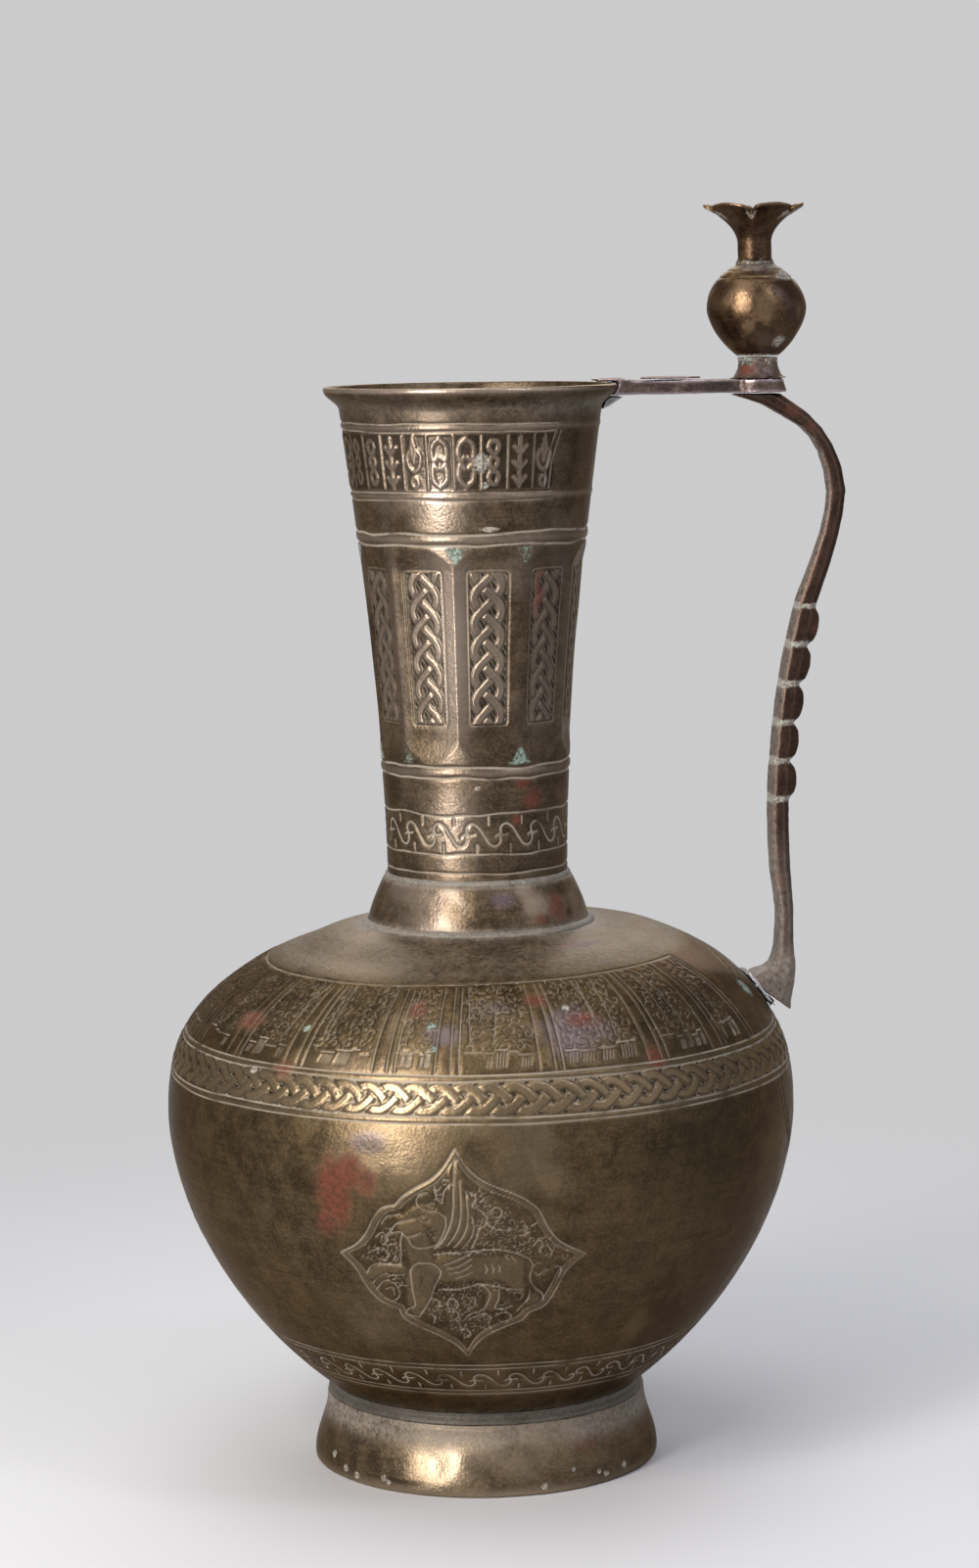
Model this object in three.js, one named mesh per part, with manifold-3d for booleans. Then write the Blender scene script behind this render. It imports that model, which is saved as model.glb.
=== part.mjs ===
// Medieval bronze ewer: globular belly on a flared foot, ten-sided neck, knopped handle and petalled finial.
// Millimetres, +Z up. The ewer stands on Z = 0, its handle points along +X, and the frame's origin lies
// under the middle of the whole outline, so the ewer's own axis is a little to the left of it.
import * as THREE from "three";
import { mergeVertices } from "three/addons/utils/BufferGeometryUtils.js";
import Module from "manifold-3d";

const wasm = await Module();
wasm.setup();

// Fits
const JOINT_GAP = 0.3; // room between two pieces that touch
const COLUMNS = 48; // flats round a turned piece, a multiple of four

// Belly and shoulder, two flattened quarter curves that meet at the widest place
const BODY_RADIUS = 92;
const BODY_WALL = 1.8;
const WIDEST_Z = 104;
const BELLY_DEPTH = 98.7;
const BELLY_POWER = 1.73;
const SHOULDER_HEIGHT = 57.4;
const SHOULDER_POWER = 2.45;
const SHOULDER_LEAN = 1.6; // how much fuller it is under the handle, and how much lower across from it
const LEAN_START = 8; // from the collar's foot outward
const LEAN_RUN = 14; // and then to its full amount
const LEAN_END = 22; // in from the widest place

// Foot
const FOOT_HEIGHT = 20.3;
const FOOT_LEDGE = 5.5; // how far its top stands out from the belly
const FOOT_FLARE = 3.8; // growth of its radius down to the edge
const FOOT_WALL = 2.8;
const FOOT_EDGE = 2; // height of the rounded bottom edge
const FOOT_SHELF = 2.4; // thickness of the shelf that carries the belly
const FOOT_SHELF_REACH = 8.5; // how far the shelf reaches in under the belly
const BASE_DISC_THICKNESS = 1.6;
const FOOT_SOLDER_HEIGHT = 4.4;
const FOOT_SOLDER_LIP = 0.9; // how far it stands out from the foot's top

// Neck
const NECK_HEIGHT = 154.8; // from the shoulder opening to the rim
const NECK_ROOT_RADIUS = 26.3;
const NECK_TUCK = 4.3; // how far the neck reaches down through the opening
const NECK_STRAIGHT = 14.7; // cylindrical length above the opening
const NECK_FLARE = 12.6; // growth of the radius up to the rim
const NECK_FLARE_POWER = 1.6;
const NECK_WALL = 1.6;
const LIP_OVERHANG = 3.6;
const LIP_HEIGHT = 5;
const LIP_EDGE = 1.5; // straight edge above the flare
const FACETS = 10;
const FACET_RISE = 46.7; // from the shoulder opening to the lower end of the facets
const FACET_DROP = 44; // from the rim to their upper end
const FACET_RUN_OUT = 8;

// Collar
const COLLAR_HEIGHT = 12.7;
const COLLAR_SPREAD = 6; // how far its foot stands out from the neck's root
const COLLAR_TOP_EDGE = 1.1;
const COLLAR_POWER = 1.35;
const COLLAR_SOLDER = 2.2;

// Strap from the lip to the finial
const ARM_THICKNESS = 4.1;
const ARM_DROP = 0.4; // the rim stands this much below the top of the strap
const ARM_HALF_WIDTH = 5.5;
const ARM_ROOT_HALF_WIDTH = 6.6;
const TAB_LENGTH = 6; // part of the strap that lies over the lip
const TAB_THICKNESS = 0.9;
const PATCH_SETBACK = 7; // from the lip to the patch
const PATCH_SEAT_GAP = 9.5; // from the patch to the finial's seat
const PATCH_THICKNESS = 0.7;
const LIP_SOLDER_HEIGHT = 3.6;
const LIP_SOLDER_HALF_WIDTH = 5;

// Handle bar
const FINIAL_X = 84.8;
const PAD_Z = 139.6; // height at which the inner face meets the shoulder
const KNOPS = 5;
const KNOP_RISE = 2.4;
const KNOP_TOP_DROP = 62.3; // from the strap's underside to the first knop
const KNOP_END_RISE = 52.4; // from PAD_Z to the last knop
const PAD_SOLDER = 1.3;
const PAD_WEDGE_HALF_WIDTH = 5.2; // solder that fills the room under the pad's end

// Finial
const TANG_RADIUS = 2.2;
const TANG_BITE = 1.5; // how far the tang reaches into the handle bar
const SEAT_RADIUS = 7.8;
const SEAT_HEIGHT = 5.9;
const SEAT_WAIST_RADIUS = 5.8;
const BULB_RADIUS = 14.5;
const BULB_LOWER = 13.6; // from the bulb's base up to its widest place
const BULB_UPPER = 12.7; // from there to its top
const BULB_NECK_RADIUS = 5.9;
const CUP_HEIGHT = 17.5;
const CUP_STEM_RADIUS = 4.9;
const CUP_STEM_LENGTH = 5.8;
const CUP_STEM_FOOT = 0.6; // how far the stem spreads where it meets the bulb
const CUP_FLARE_POWER = 2;
const CUP_RADIUS = 14.6;
const CUP_WALL = 1.3;
const CUP_RIM = 1; // height of the lip's edge
const CUP_DEPTH = 10;
const PETALS = 6;
const PETAL_TURN = 14.5; // degrees from +X to the first notch
const NOTCH_SHARE = 0.17;
const NOTCH_WIDTH = 5; // degrees
const SCALLOP = 0.8; // how far the rim droops from a petal's middle to its notches

const TAU = Math.PI * 2;
const { cos, sin, sqrt, PI } = Math;
const point = (radius, z) => new THREE.Vector2(radius, z);
const smooth = (share) => THREE.MathUtils.smoothstep(share, 0, 1);

// Evenly spaced values from one number to another, both included.
function steps(count, from, to) {
  return Array.from({ length: count + 1 }, (unused, i) => from + ((to - from) * i) / count);
}

// Skins a row of rings with triangles. A ring of one point closes an end; without one, last meets first.
function skin(rings) {
  const starts = [];
  const positions = [];
  for (const ring of rings) {
    starts.push(positions.length / 3);
    ring.forEach((p) => positions.push(p.x, p.y, p.z));
  }
  const around = Math.max(...rings.map((ring) => ring.length));
  const vertex = (row, column) => starts[row] + (rings[row].length === 1 ? 0 : column % around);
  const rows = rings[0].length === 1 ? rings.length - 1 : rings.length;
  const faces = [];
  for (let row = 0; row < rows; row += 1) {
    const next = (row + 1) % rings.length;
    for (let c = 0; c < around; c += 1) {
      if (rings[row].length > 1) faces.push(vertex(row, c), vertex(row, c + 1), vertex(next, c));
      if (rings[next].length > 1) faces.push(vertex(row, c + 1), vertex(next, c + 1), vertex(next, c));
    }
  }
  const geometry = new THREE.BufferGeometry();
  geometry.setAttribute("position", new THREE.Float32BufferAttribute(positions, 3));
  geometry.setIndex(faces);
  geometry.computeVertexNormals();
  return geometry;
}

// Turns a profile round the Z axis. It runs up the outside and down the inside; shape can bend it by angle.
function revolve(profile, columns = COLUMNS, shape = (p) => p) {
  return skin(
    profile.map((p) =>
      Array.from({ length: p.x === 0 ? 1 : columns }, (unused, i) => {
        const angle = (TAU * i) / columns;
        const q = shape(p, angle);
        return new THREE.Vector3(q.x * cos(angle), q.x * sin(angle), q.y);
      }),
    ),
  );
}

// Solid for joining and cutting, and back again.
function solid(geometry) {
  const bare = new THREE.BufferGeometry();
  bare.setAttribute("position", geometry.getAttribute("position"));
  bare.setIndex(geometry.index);
  const merged = mergeVertices(bare, 1e-4);
  return new wasm.Manifold(
    new wasm.Mesh({
      numProp: 3,
      vertProperties: merged.attributes.position.array,
      triVerts: new Uint32Array(merged.index.array),
    }),
  );
}

function surface(manifold) {
  const mesh = manifold.getMesh();
  const geometry = new THREE.BufferGeometry();
  geometry.setAttribute("position", new THREE.Float32BufferAttribute(mesh.vertProperties, 3));
  geometry.setIndex(Array.from(mesh.triVerts));
  geometry.computeVertexNormals();
  return geometry;
}

// Height of the shoulder's outer face at a radius, and of the face moved out by a distance.
function shoulderZ(radius, out = 0) {
  const share = (radius / (BODY_RADIUS + out)) ** SHOULDER_POWER;
  return WIDEST_Z + (SHOULDER_HEIGHT + out) * (1 - share) ** (1 / SHOULDER_POWER);
}

// Radius of the body's outer face at a height, or of the face moved out by a distance.
function bodyRadius(z, out = 0) {
  const upper = z > WIDEST_Z;
  const reach = (upper ? SHOULDER_HEIGHT : BELLY_DEPTH) + out;
  const power = upper ? SHOULDER_POWER : BELLY_POWER;
  return (BODY_RADIUS + out) * (1 - (Math.abs(z - WIDEST_Z) / reach) ** power) ** (1 / power);
}

// Lifts the shoulder towards the handle and lowers it across from it; collar and widest place stay round.
function lean(p, angle) {
  const share = smooth((p.x - COLLAR_RADIUS - LEAN_START) / LEAN_RUN) * smooth((BODY_RADIUS - p.x) / LEAN_END);
  return point(p.x, p.y > WIDEST_Z ? p.y + SHOULDER_LEAN * share * cos(angle) : p.y);
}

// Heights that the other pieces hang on.
const BODY_BASE_Z = FOOT_HEIGHT + JOINT_GAP;
const FOOT_TOP_RADIUS = bodyRadius(BODY_BASE_Z) + FOOT_LEDGE;
const FOOT_RADIUS = FOOT_TOP_RADIUS + FOOT_FLARE;
const FOOT_SHELF_RADIUS = bodyRadius(BODY_BASE_Z) - FOOT_SHELF_REACH;
const COLLAR_RADIUS = NECK_ROOT_RADIUS + COLLAR_SPREAD;
const COLLAR_TOP_RADIUS = NECK_ROOT_RADIUS + COLLAR_TOP_EDGE;
const OPENING_RADIUS = NECK_ROOT_RADIUS + JOINT_GAP;
const OPENING_Z = shoulderZ(OPENING_RADIUS);
const RIM_Z = OPENING_Z + NECK_HEIGHT;
const ARM_TOP_Z = RIM_Z + ARM_DROP;
const ARM_BASE_Z = ARM_TOP_Z - ARM_THICKNESS;

// The body's curve from its base to the shoulder opening, moved out by a distance, in rows of equal turn.
function bodyCurve(out, rows = 20) {
  const radius = BODY_RADIUS + out;
  const depth = BELLY_DEPTH + out;
  const height = SHOULDER_HEIGHT + out;
  const lowest = Math.asin(((WIDEST_Z - BODY_BASE_Z) / depth) ** (BELLY_POWER / 2));
  const highest = Math.acos((OPENING_RADIUS / radius) ** (SHOULDER_POWER / 2));
  const belly = steps(rows / 2, lowest, 0).map((t) =>
    point(radius * cos(t) ** (2 / BELLY_POWER), WIDEST_Z - depth * sin(t) ** (2 / BELLY_POWER)),
  );
  const shoulder = steps(rows / 2, 0, highest).map((t) =>
    point(radius * cos(t) ** (2 / SHOULDER_POWER), WIDEST_Z + height * sin(t) ** (2 / SHOULDER_POWER)),
  );
  return [...belly, ...shoulder.slice(1)];
}

const bodyShell = revolve([...bodyCurve(0), ...bodyCurve(-BODY_WALL, 14).reverse()], COLUMNS, lean);

// All that lies under the body's face moved out by a distance.
function roomOfBody(out) {
  const profile = [point(0, BODY_BASE_Z), ...bodyCurve(out), point(0, shoulderZ(OPENING_RADIUS, out))];
  return solid(revolve(profile, COLUMNS, lean));
}

const bodyRoom = roomOfBody(JOINT_GAP);

// Foot: a flared ring with an inner shelf, on which the belly and the base disc stand.
function footRadius(z) {
  const share = THREE.MathUtils.clamp((z - FOOT_EDGE) / (FOOT_HEIGHT - 1.3 - FOOT_EDGE), 0, 1);
  return FOOT_TOP_RADIUS + (FOOT_RADIUS - FOOT_TOP_RADIUS) * 0.5 * (1 + cos(PI * share));
}

const footRing = revolve([
  point(FOOT_RADIUS - 0.7, 0),
  ...steps(6, FOOT_EDGE, FOOT_HEIGHT).map((z) => point(footRadius(z), z)),
  point(FOOT_SHELF_RADIUS, FOOT_HEIGHT),
  point(FOOT_SHELF_RADIUS, FOOT_HEIGHT - FOOT_SHELF),
  ...steps(3, FOOT_HEIGHT - FOOT_SHELF, FOOT_EDGE).map((z) => point(footRadius(z) - FOOT_WALL, z)),
  point(FOOT_RADIUS - FOOT_WALL + 0.3, 0),
]);

const discTop = BODY_BASE_Z + BASE_DISC_THICKNESS;
const baseDisc = revolve([
  point(0, BODY_BASE_Z),
  point(bodyRadius(BODY_BASE_Z, -BODY_WALL) - 2 * JOINT_GAP, BODY_BASE_Z),
  point(bodyRadius(discTop, -BODY_WALL) - 2 * JOINT_GAP, discTop),
  point(0, discTop),
]);

const solderBottom = FOOT_HEIGHT + JOINT_GAP;
const solderTop = solderBottom + FOOT_SOLDER_HEIGHT;
const solderRadius = FOOT_TOP_RADIUS + FOOT_SOLDER_LIP;
const footSolder = revolve([
  point(solderRadius - 0.6, solderBottom),
  point(solderRadius, solderBottom + 1.2),
  point(solderRadius - 0.1, solderTop - 1.5),
  ...steps(2, solderTop, solderBottom).map((z) => point(bodyRadius(z) + 2 * JOINT_GAP, z)),
]);

// Neck: a flaring tube whose middle is dressed to flats, with round corners left at their ends.
function neckRadius(z) {
  const share = (z - OPENING_Z - NECK_STRAIGHT) / (NECK_HEIGHT - NECK_STRAIGHT);
  const lip = (z - RIM_Z + LIP_HEIGHT + LIP_EDGE) / LIP_HEIGHT;
  return NECK_ROOT_RADIUS + NECK_FLARE * Math.max(share, 0) ** NECK_FLARE_POWER + LIP_OVERHANG * smooth(lip);
}

const facetBottom = OPENING_Z + FACET_RISE;
const facetTop = RIM_Z - FACET_DROP;

function facetShare(z, angle) {
  const fade = smooth((z - facetBottom) / FACET_RUN_OUT) * smooth((facetTop - z) / FACET_RUN_OUT);
  const turn = TAU / FACETS;
  const fromMiddle = (angle % turn) - turn / 2;
  const flat = 1 - (1 - cos(turn / 2)) * fade;
  return Math.min(1, flat / cos(fromMiddle));
}

const NECK_COLUMNS = FACETS * 5;
const neckBottom = OPENING_Z - NECK_TUCK;
const straightTop = OPENING_Z + NECK_STRAIGHT;
const flatBottom = facetBottom + FACET_RUN_OUT;
const flatTop = facetTop - FACET_RUN_OUT;
const lipStart = RIM_Z - LIP_HEIGHT - LIP_EDGE;
const lipEnd = RIM_Z - LIP_EDGE;
const lipRadius = neckRadius(RIM_Z);
const outerHeights = [
  neckBottom,
  ...steps(2, straightTop, facetBottom),
  ...steps(2, facetBottom, flatBottom).slice(1),
  ...steps(3, flatBottom, flatTop).slice(1),
  ...steps(2, flatTop, facetTop).slice(1),
  ...steps(3, facetTop, lipStart).slice(1),
  ...steps(4, lipStart, lipEnd).slice(1),
];
const innerHeights = [
  lipEnd,
  (lipStart + lipEnd) / 2,
  lipStart,
  facetTop,
  ...steps(2, flatTop, flatBottom),
  facetBottom,
  straightTop,
  neckBottom,
];
const neckTube = revolve(
  [
    ...outerHeights.map((z) => point(neckRadius(z), z)),
    point(lipRadius, RIM_Z - 0.4),
    point(lipRadius - 0.5, RIM_Z),
    point(lipRadius - 1.3, RIM_Z),
    ...innerHeights.map((z) => point(neckRadius(z) - NECK_WALL, z)),
  ],
  NECK_COLUMNS,
  (p, angle) => point(p.x * facetShare(p.y, angle), p.y),
);

// Room that the lip takes from the strap and its solder.
const lipRoom = solid(
  revolve(
    [
      point(0, facetTop),
      ...steps(3, facetTop, lipStart).map((z) => point(neckRadius(z) + JOINT_GAP, z)),
      ...steps(4, lipStart, lipEnd).slice(1).map((z) => point(neckRadius(z) + JOINT_GAP, z)),
      point(lipRadius + JOINT_GAP, RIM_Z + JOINT_GAP),
      point(0, RIM_Z + JOINT_GAP),
    ],
    NECK_COLUMNS,
  ),
);

// Collar that hides the joint of neck and shoulder, with a solder bead above and below.
const collarBase = shoulderZ(COLLAR_RADIUS) + JOINT_GAP;
const collarTop = OPENING_Z + COLLAR_HEIGHT;

function collarRadius(z) {
  const share = (z - collarBase) / (collarTop - collarBase);
  return COLLAR_RADIUS - (COLLAR_RADIUS - COLLAR_TOP_RADIUS) * share ** COLLAR_POWER;
}

const neckCollar = revolve([
  ...steps(4, collarBase, collarTop).map((z) => point(collarRadius(z), z)),
  point(OPENING_RADIUS, collarTop),
  point(OPENING_RADIUS, OPENING_Z + JOINT_GAP),
]);

const beadBase = collarTop + JOINT_GAP;
const collarTopSolder = revolve([
  point(OPENING_RADIUS + 1, beadBase),
  point(OPENING_RADIUS + 0.9, beadBase + COLLAR_SOLDER * 0.4),
  point(OPENING_RADIUS, beadBase + COLLAR_SOLDER),
  point(OPENING_RADIUS, beadBase),
]);

const filletInner = COLLAR_RADIUS + JOINT_GAP;
const filletOuter = filletInner + COLLAR_SOLDER * 1.3;
const filletTop = collarBase + COLLAR_SOLDER;
const collarFootSolder = revolve([
  point(filletOuter, shoulderZ(filletOuter, JOINT_GAP)),
  point(filletInner + COLLAR_SOLDER * 0.5, collarBase + COLLAR_SOLDER * 0.5),
  point(filletInner, filletTop),
  point(collarRadius(filletTop) + JOINT_GAP, filletTop),
  point(filletInner, shoulderZ(filletInner, JOINT_GAP)),
]);

// Solids made by pushing an outline along one axis.
function slab(shape, depth) {
  return new THREE.ExtrudeGeometry(shape, { depth, bevelEnabled: false, curveSegments: 24 });
}

// An outline in X and Z, as thick as asked across the middle plane.
function sideSlab(points, thickness) {
  const shape = new THREE.Shape(points.map(([x, z]) => point(x, z)));
  return solid(slab(shape, thickness).rotateX(PI / 2).translate(0, thickness / 2, 0));
}

function pin(radius, from, to) {
  const profile = [point(0, from), point(radius, from), point(radius, to), point(0, to)];
  return solid(revolve(profile, 24).translate(FINIAL_X, 0, 0));
}

const tangBottom = ARM_BASE_Z - TANG_BITE;
const tangHole = pin(TANG_RADIUS + JOINT_GAP, tangBottom - JOINT_GAP, ARM_TOP_Z + 10);

// Strap: its side outline crossed with its plan, less the lip and the hole for the tang.
const bossRadius = SEAT_RADIUS + 0.5;
const armStart = lipRadius - TAB_LENGTH;
const patchStart = lipRadius + PATCH_SETBACK;
const patchEnd = FINIAL_X - SEAT_RADIUS - PATCH_SEAT_GAP;
const tabTop = RIM_Z + JOINT_GAP + TAB_THICKNESS;
const bossAngle = PI - Math.asin(ARM_HALF_WIDTH / bossRadius);
const armPlan = new THREE.Shape();
armPlan.moveTo(armStart, -ARM_ROOT_HALF_WIDTH);
armPlan.lineTo(patchStart, -ARM_HALF_WIDTH);
armPlan.absarc(FINIAL_X, 0, bossRadius, -bossAngle, bossAngle, false);
armPlan.lineTo(patchStart, ARM_HALF_WIDTH);
armPlan.lineTo(armStart, ARM_ROOT_HALF_WIDTH);
const armSide = sideSlab(
  [
    [armStart, ARM_BASE_Z],
    [FINIAL_X + bossRadius + 1, ARM_BASE_Z],
    [FINIAL_X + bossRadius - 1.5, ARM_TOP_Z],
    [patchStart - 1.5, ARM_TOP_Z],
    [lipRadius + 2, tabTop],
    [armStart, tabTop],
  ],
  4 * bossRadius,
);
const armPlanSolid = solid(slab(armPlan, 3 * ARM_THICKNESS).translate(0, 0, ARM_BASE_Z - ARM_THICKNESS));
const handleArm = surface(armSide.intersect(armPlanSolid).subtract(lipRoom).subtract(tangHole));

// The old patch on the strap, with ragged ends. Its corners are shares of its length and half width.
const PATCH_OUTLINE = [
  [0, -0.5],
  [0.17, -1],
  [0.78, -0.9],
  [1, -0.3],
  [0.86, 0.2],
  [0.94, 0.8],
  [0.28, 1],
  [0.08, 0.4],
];
const patchHalf = ARM_HALF_WIDTH - 0.9;
const patchPlan = new THREE.Shape(
  PATCH_OUTLINE.map(([u, v]) => point(patchStart + u * (patchEnd - patchStart), v * patchHalf)),
);
const armPatch = slab(patchPlan, PATCH_THICKNESS).translate(0, 0, ARM_TOP_Z + JOINT_GAP);

const filletZ = ARM_BASE_Z - JOINT_GAP;
const lipSolder = surface(
  sideSlab(
    [
      [armStart, filletZ - LIP_SOLDER_HEIGHT],
      [neckRadius(filletZ - LIP_SOLDER_HEIGHT) + 1, filletZ - LIP_SOLDER_HEIGHT],
      [lipRadius + 2, filletZ],
      [armStart, filletZ],
    ],
    2 * LIP_SOLDER_HALF_WIDTH,
  ).subtract(lipRoom),
);

// Handle bar. Each station is x, z, depth in the handle's plane and width across it. The upper ones count
// from the finial's axis and the strap's underside, the lower ones from the shoulder's face at PAD_Z.
const UPPER_STATIONS = [
  [-8.8, 2.6, 5.4, 9],
  [1.4, -0.7, 5.4, 9],
  [5.9, -3.3, 5.2, 8.6],
  [14.4, -9, 4.4, 7],
  [19.9, -16.6, 4.4, 6.4],
  [23.04, -27.8, 5.3, 6],
  [21.7, -38.6, 5.1, 6],
  [17.7, -51.6, 5.5, 7],
  [13.6, -62.7, 5.8, 8],
];
const LOWER_STATIONS = [
  [14.3, 86.8, 5.3, 9],
  [11.6, 66.1, 5.1, 9.4],
  [11, 50.4, 5.6, 9.4],
  [11.2, 34.4, 5.6, 9.4],
  [12.6, 20.4, 4.7, 9.4],
  [12.5, 12.4, 4.8, 9.4],
  [12.3, 7, 5.6, 10],
  [11.2, 0.6, 8.6, 12.4],
  [6.8, -5.4, 17, 15],
];
// Corners of the bar's section as shares of half its depth and half its width: flat inside, chamfered out.
const SECTION = [
  [-1, -0.8],
  [-0.6, -1],
  [0.3, -1],
  [1, -0.45],
  [1, 0.45],
  [0.3, 1],
  [-0.6, 1],
  [-1, 0.8],
];

const padX = bodyRadius(PAD_Z);
const stations = [
  ...UPPER_STATIONS.map(([x, z, depth, width]) => [FINIAL_X + x, ARM_BASE_Z + z, depth, width]),
  ...LOWER_STATIONS.map(([x, z, depth, width]) => [padX + x, PAD_Z + z, depth, width]),
];
const barPath = new THREE.CatmullRomCurve3(
  stations.map(([x, z]) => new THREE.Vector3(x, 0, z)),
  false,
  "catmullrom",
);
const barSizes = new THREE.CatmullRomCurve3(
  stations.map(([x, z, depth, width]) => new THREE.Vector3(depth, width, 0)),
  false,
  "catmullrom",
);
const knopTop = ARM_BASE_Z - KNOP_TOP_DROP;
const knopBottom = PAD_Z + KNOP_END_RISE;

// The path's parameter at a height, found by halving, since the path only falls.
function pathShare(z) {
  let [low, high] = [0, 1];
  for (let i = 0; i < 40; i += 1) {
    const middle = (low + high) / 2;
    if (barPath.getPoint(middle).z > z) low = middle;
    else high = middle;
  }
  return low;
}

function knopSwell(z) {
  const count = ((knopTop - z) / (knopTop - knopBottom)) * KNOPS;
  return count > 0 && count < KNOPS ? sqrt(Math.abs(sin(PI * count))) : 0;
}

// The bar's skin, grown by a distance on every side.
function barSkin(grow) {
  const shares = [
    ...steps(14, 0, pathShare(knopTop)),
    ...steps(KNOPS * 6, knopTop, knopBottom).slice(1).map(pathShare),
    ...steps(14, pathShare(knopBottom), 1).slice(1),
  ];
  const rings = shares.map((share, row) => {
    const centre = barPath.getPoint(share);
    const along = barPath.getTangent(share);
    const outward = new THREE.Vector3(-along.z, 0, along.x);
    const across = new THREE.Vector3(0, -1, 0);
    const size = barSizes.getPoint(share);
    const swell = KNOP_RISE * knopSwell(centre.z);
    if (row === 0) centre.addScaledVector(along, -grow);
    if (row === shares.length - 1) centre.addScaledVector(along, grow);
    return SECTION.map(([n, w]) =>
      centre
        .clone()
        .addScaledVector(outward, n * (size.x / 2 + grow) + (n > 0 ? swell * n : 0))
        .addScaledVector(across, w * (size.y / 2 + grow + 0.12 * swell)),
    );
  });
  const middleOf = (ring) => [
    ring.reduce((sum, p) => sum.add(p), new THREE.Vector3()).divideScalar(ring.length),
  ];
  return solid(skin([middleOf(rings[0]), ...rings, middleOf(rings.at(-1))]));
}

const aboveBar = solid(
  new THREE.BoxGeometry(200, 60, 60).translate(FINIAL_X, 0, ARM_BASE_Z - JOINT_GAP + 30),
);
const handleBar = surface(barSkin(0).subtract(aboveBar).subtract(bodyRoom).subtract(tangHole));

// Solder along the foot of the pad: the layer above the shoulder that lies close round the bar, and the
// wedge between the shoulder and the pad's end, which stands away from it.
const solderWedge = sideSlab(
  [
    [padX - 2, PAD_Z + 2],
    [padX + 9.5, PAD_Z - 2],
    [padX + 8.5, PAD_Z - 7.5],
    [padX + 3.5, PAD_Z - 13],
    [padX - 2, PAD_Z - 10],
  ],
  2 * PAD_WEDGE_HALF_WIDTH,
);
const padSolder = surface(
  barSkin(JOINT_GAP + PAD_SOLDER)
    .intersect(roomOfBody(JOINT_GAP + PAD_SOLDER))
    .add(solderWedge)
    .subtract(bodyRoom)
    .subtract(barSkin(JOINT_GAP)),
);

// Finial: seat, bulb and petalled cup, held by the cup's own tang.
const FINIAL_COLUMNS = 28;
const seatBase = ARM_TOP_Z + JOINT_GAP;
const bulbBase = seatBase + SEAT_HEIGHT + JOINT_GAP;
const bulbMiddle = bulbBase + BULB_LOWER;
const bulbTop = bulbMiddle + BULB_UPPER;
const cupBase = bulbTop + JOINT_GAP;
const cupTop = cupBase + CUP_HEIGHT;
const tangBore = TANG_RADIUS + JOINT_GAP;

const finialSeat = revolve(
  [
    ...steps(5, 0, 1).map((s) => {
      const flare = (SEAT_RADIUS - SEAT_WAIST_RADIUS) * (1 - s / 0.7) ** 2;
      return point(SEAT_WAIST_RADIUS + (s < 0.7 ? flare : 0.5 * (s - 0.7)), seatBase + SEAT_HEIGHT * s);
    }),
    point(tangBore, seatBase + SEAT_HEIGHT),
    point(tangBore, seatBase),
  ],
  FINIAL_COLUMNS,
).translate(FINIAL_X, 0, 0);

// Radius of the bulb at a height: fuller below than above, and cut off where seat and cup meet it.
function bulbRadius(z) {
  const upper = z > bulbMiddle;
  const reach = upper ? BULB_UPPER * 1.09 : BULB_LOWER * 1.19;
  const power = upper ? 1.92 : 1.6;
  return BULB_RADIUS * (1 - (Math.abs(z - bulbMiddle) / reach) ** power) ** (1 / power);
}

const bulbHeights = [
  ...steps(6, -PI / 2, 0).map((t) => bulbMiddle + BULB_LOWER * sin(t)),
  ...steps(5, 0, PI / 2).slice(1).map((t) => bulbMiddle + BULB_UPPER * sin(t)),
];
const finialBulb = revolve(
  [
    ...bulbHeights.map((z) => point(Math.max(bulbRadius(z), BULB_NECK_RADIUS), z)),
    point(tangBore, bulbTop),
    point(tangBore, bulbBase),
  ],
  FINIAL_COLUMNS,
).translate(FINIAL_X, 0, 0);

function cupRadius(z) {
  const share = (z - cupBase - CUP_STEM_LENGTH) / (CUP_HEIGHT - CUP_STEM_LENGTH - CUP_RIM);
  const flare = THREE.MathUtils.clamp(share, 0, 1) ** CUP_FLARE_POWER;
  return CUP_STEM_RADIUS + (CUP_RADIUS - CUP_STEM_RADIUS) * flare;
}

// Notches between the petals, deepest at the rim, which also droops towards them.
function petal(p, angle) {
  const turn = TAU / PETALS;
  const first = THREE.MathUtils.degToRad(PETAL_TURN);
  const off = THREE.MathUtils.euclideanModulo(angle - first + turn / 2, turn) - turn / 2;
  const share = Math.max(0, (p.x - CUP_STEM_RADIUS) / (CUP_RADIUS - CUP_STEM_RADIUS));
  const notch = Math.exp(-((off / THREE.MathUtils.degToRad(NOTCH_WIDTH)) ** 2));
  const droop = 0.5 + 0.5 * cos(off * PETALS);
  return point(p.x * (1 - NOTCH_SHARE * notch * share), p.y - SCALLOP * droop * share ** 2);
}

const cupFloor = cupTop - CUP_DEPTH;
const finialCup = revolve(
  [
    point(0, tangBottom),
    point(TANG_RADIUS, tangBottom),
    point(TANG_RADIUS, cupBase),
    point(CUP_STEM_RADIUS + CUP_STEM_FOOT, cupBase),
    point(CUP_STEM_RADIUS, cupBase + 1.6),
    ...steps(5, cupBase + CUP_STEM_LENGTH, cupTop - CUP_RIM).map((z) => point(cupRadius(z), z)),
    point(CUP_RADIUS, cupTop),
    ...steps(4, cupTop, cupFloor).map((z) => point(Math.max(cupRadius(z) - CUP_WALL, 2), z)),
    point(0, cupFloor),
  ],
  PETALS * 8,
  petal,
).translate(FINIAL_X, 0, 0);

// Materials
function bronze(colour, roughness, metalness = 1) {
  return new THREE.MeshStandardMaterial({ color: colour, roughness, metalness });
}

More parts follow.
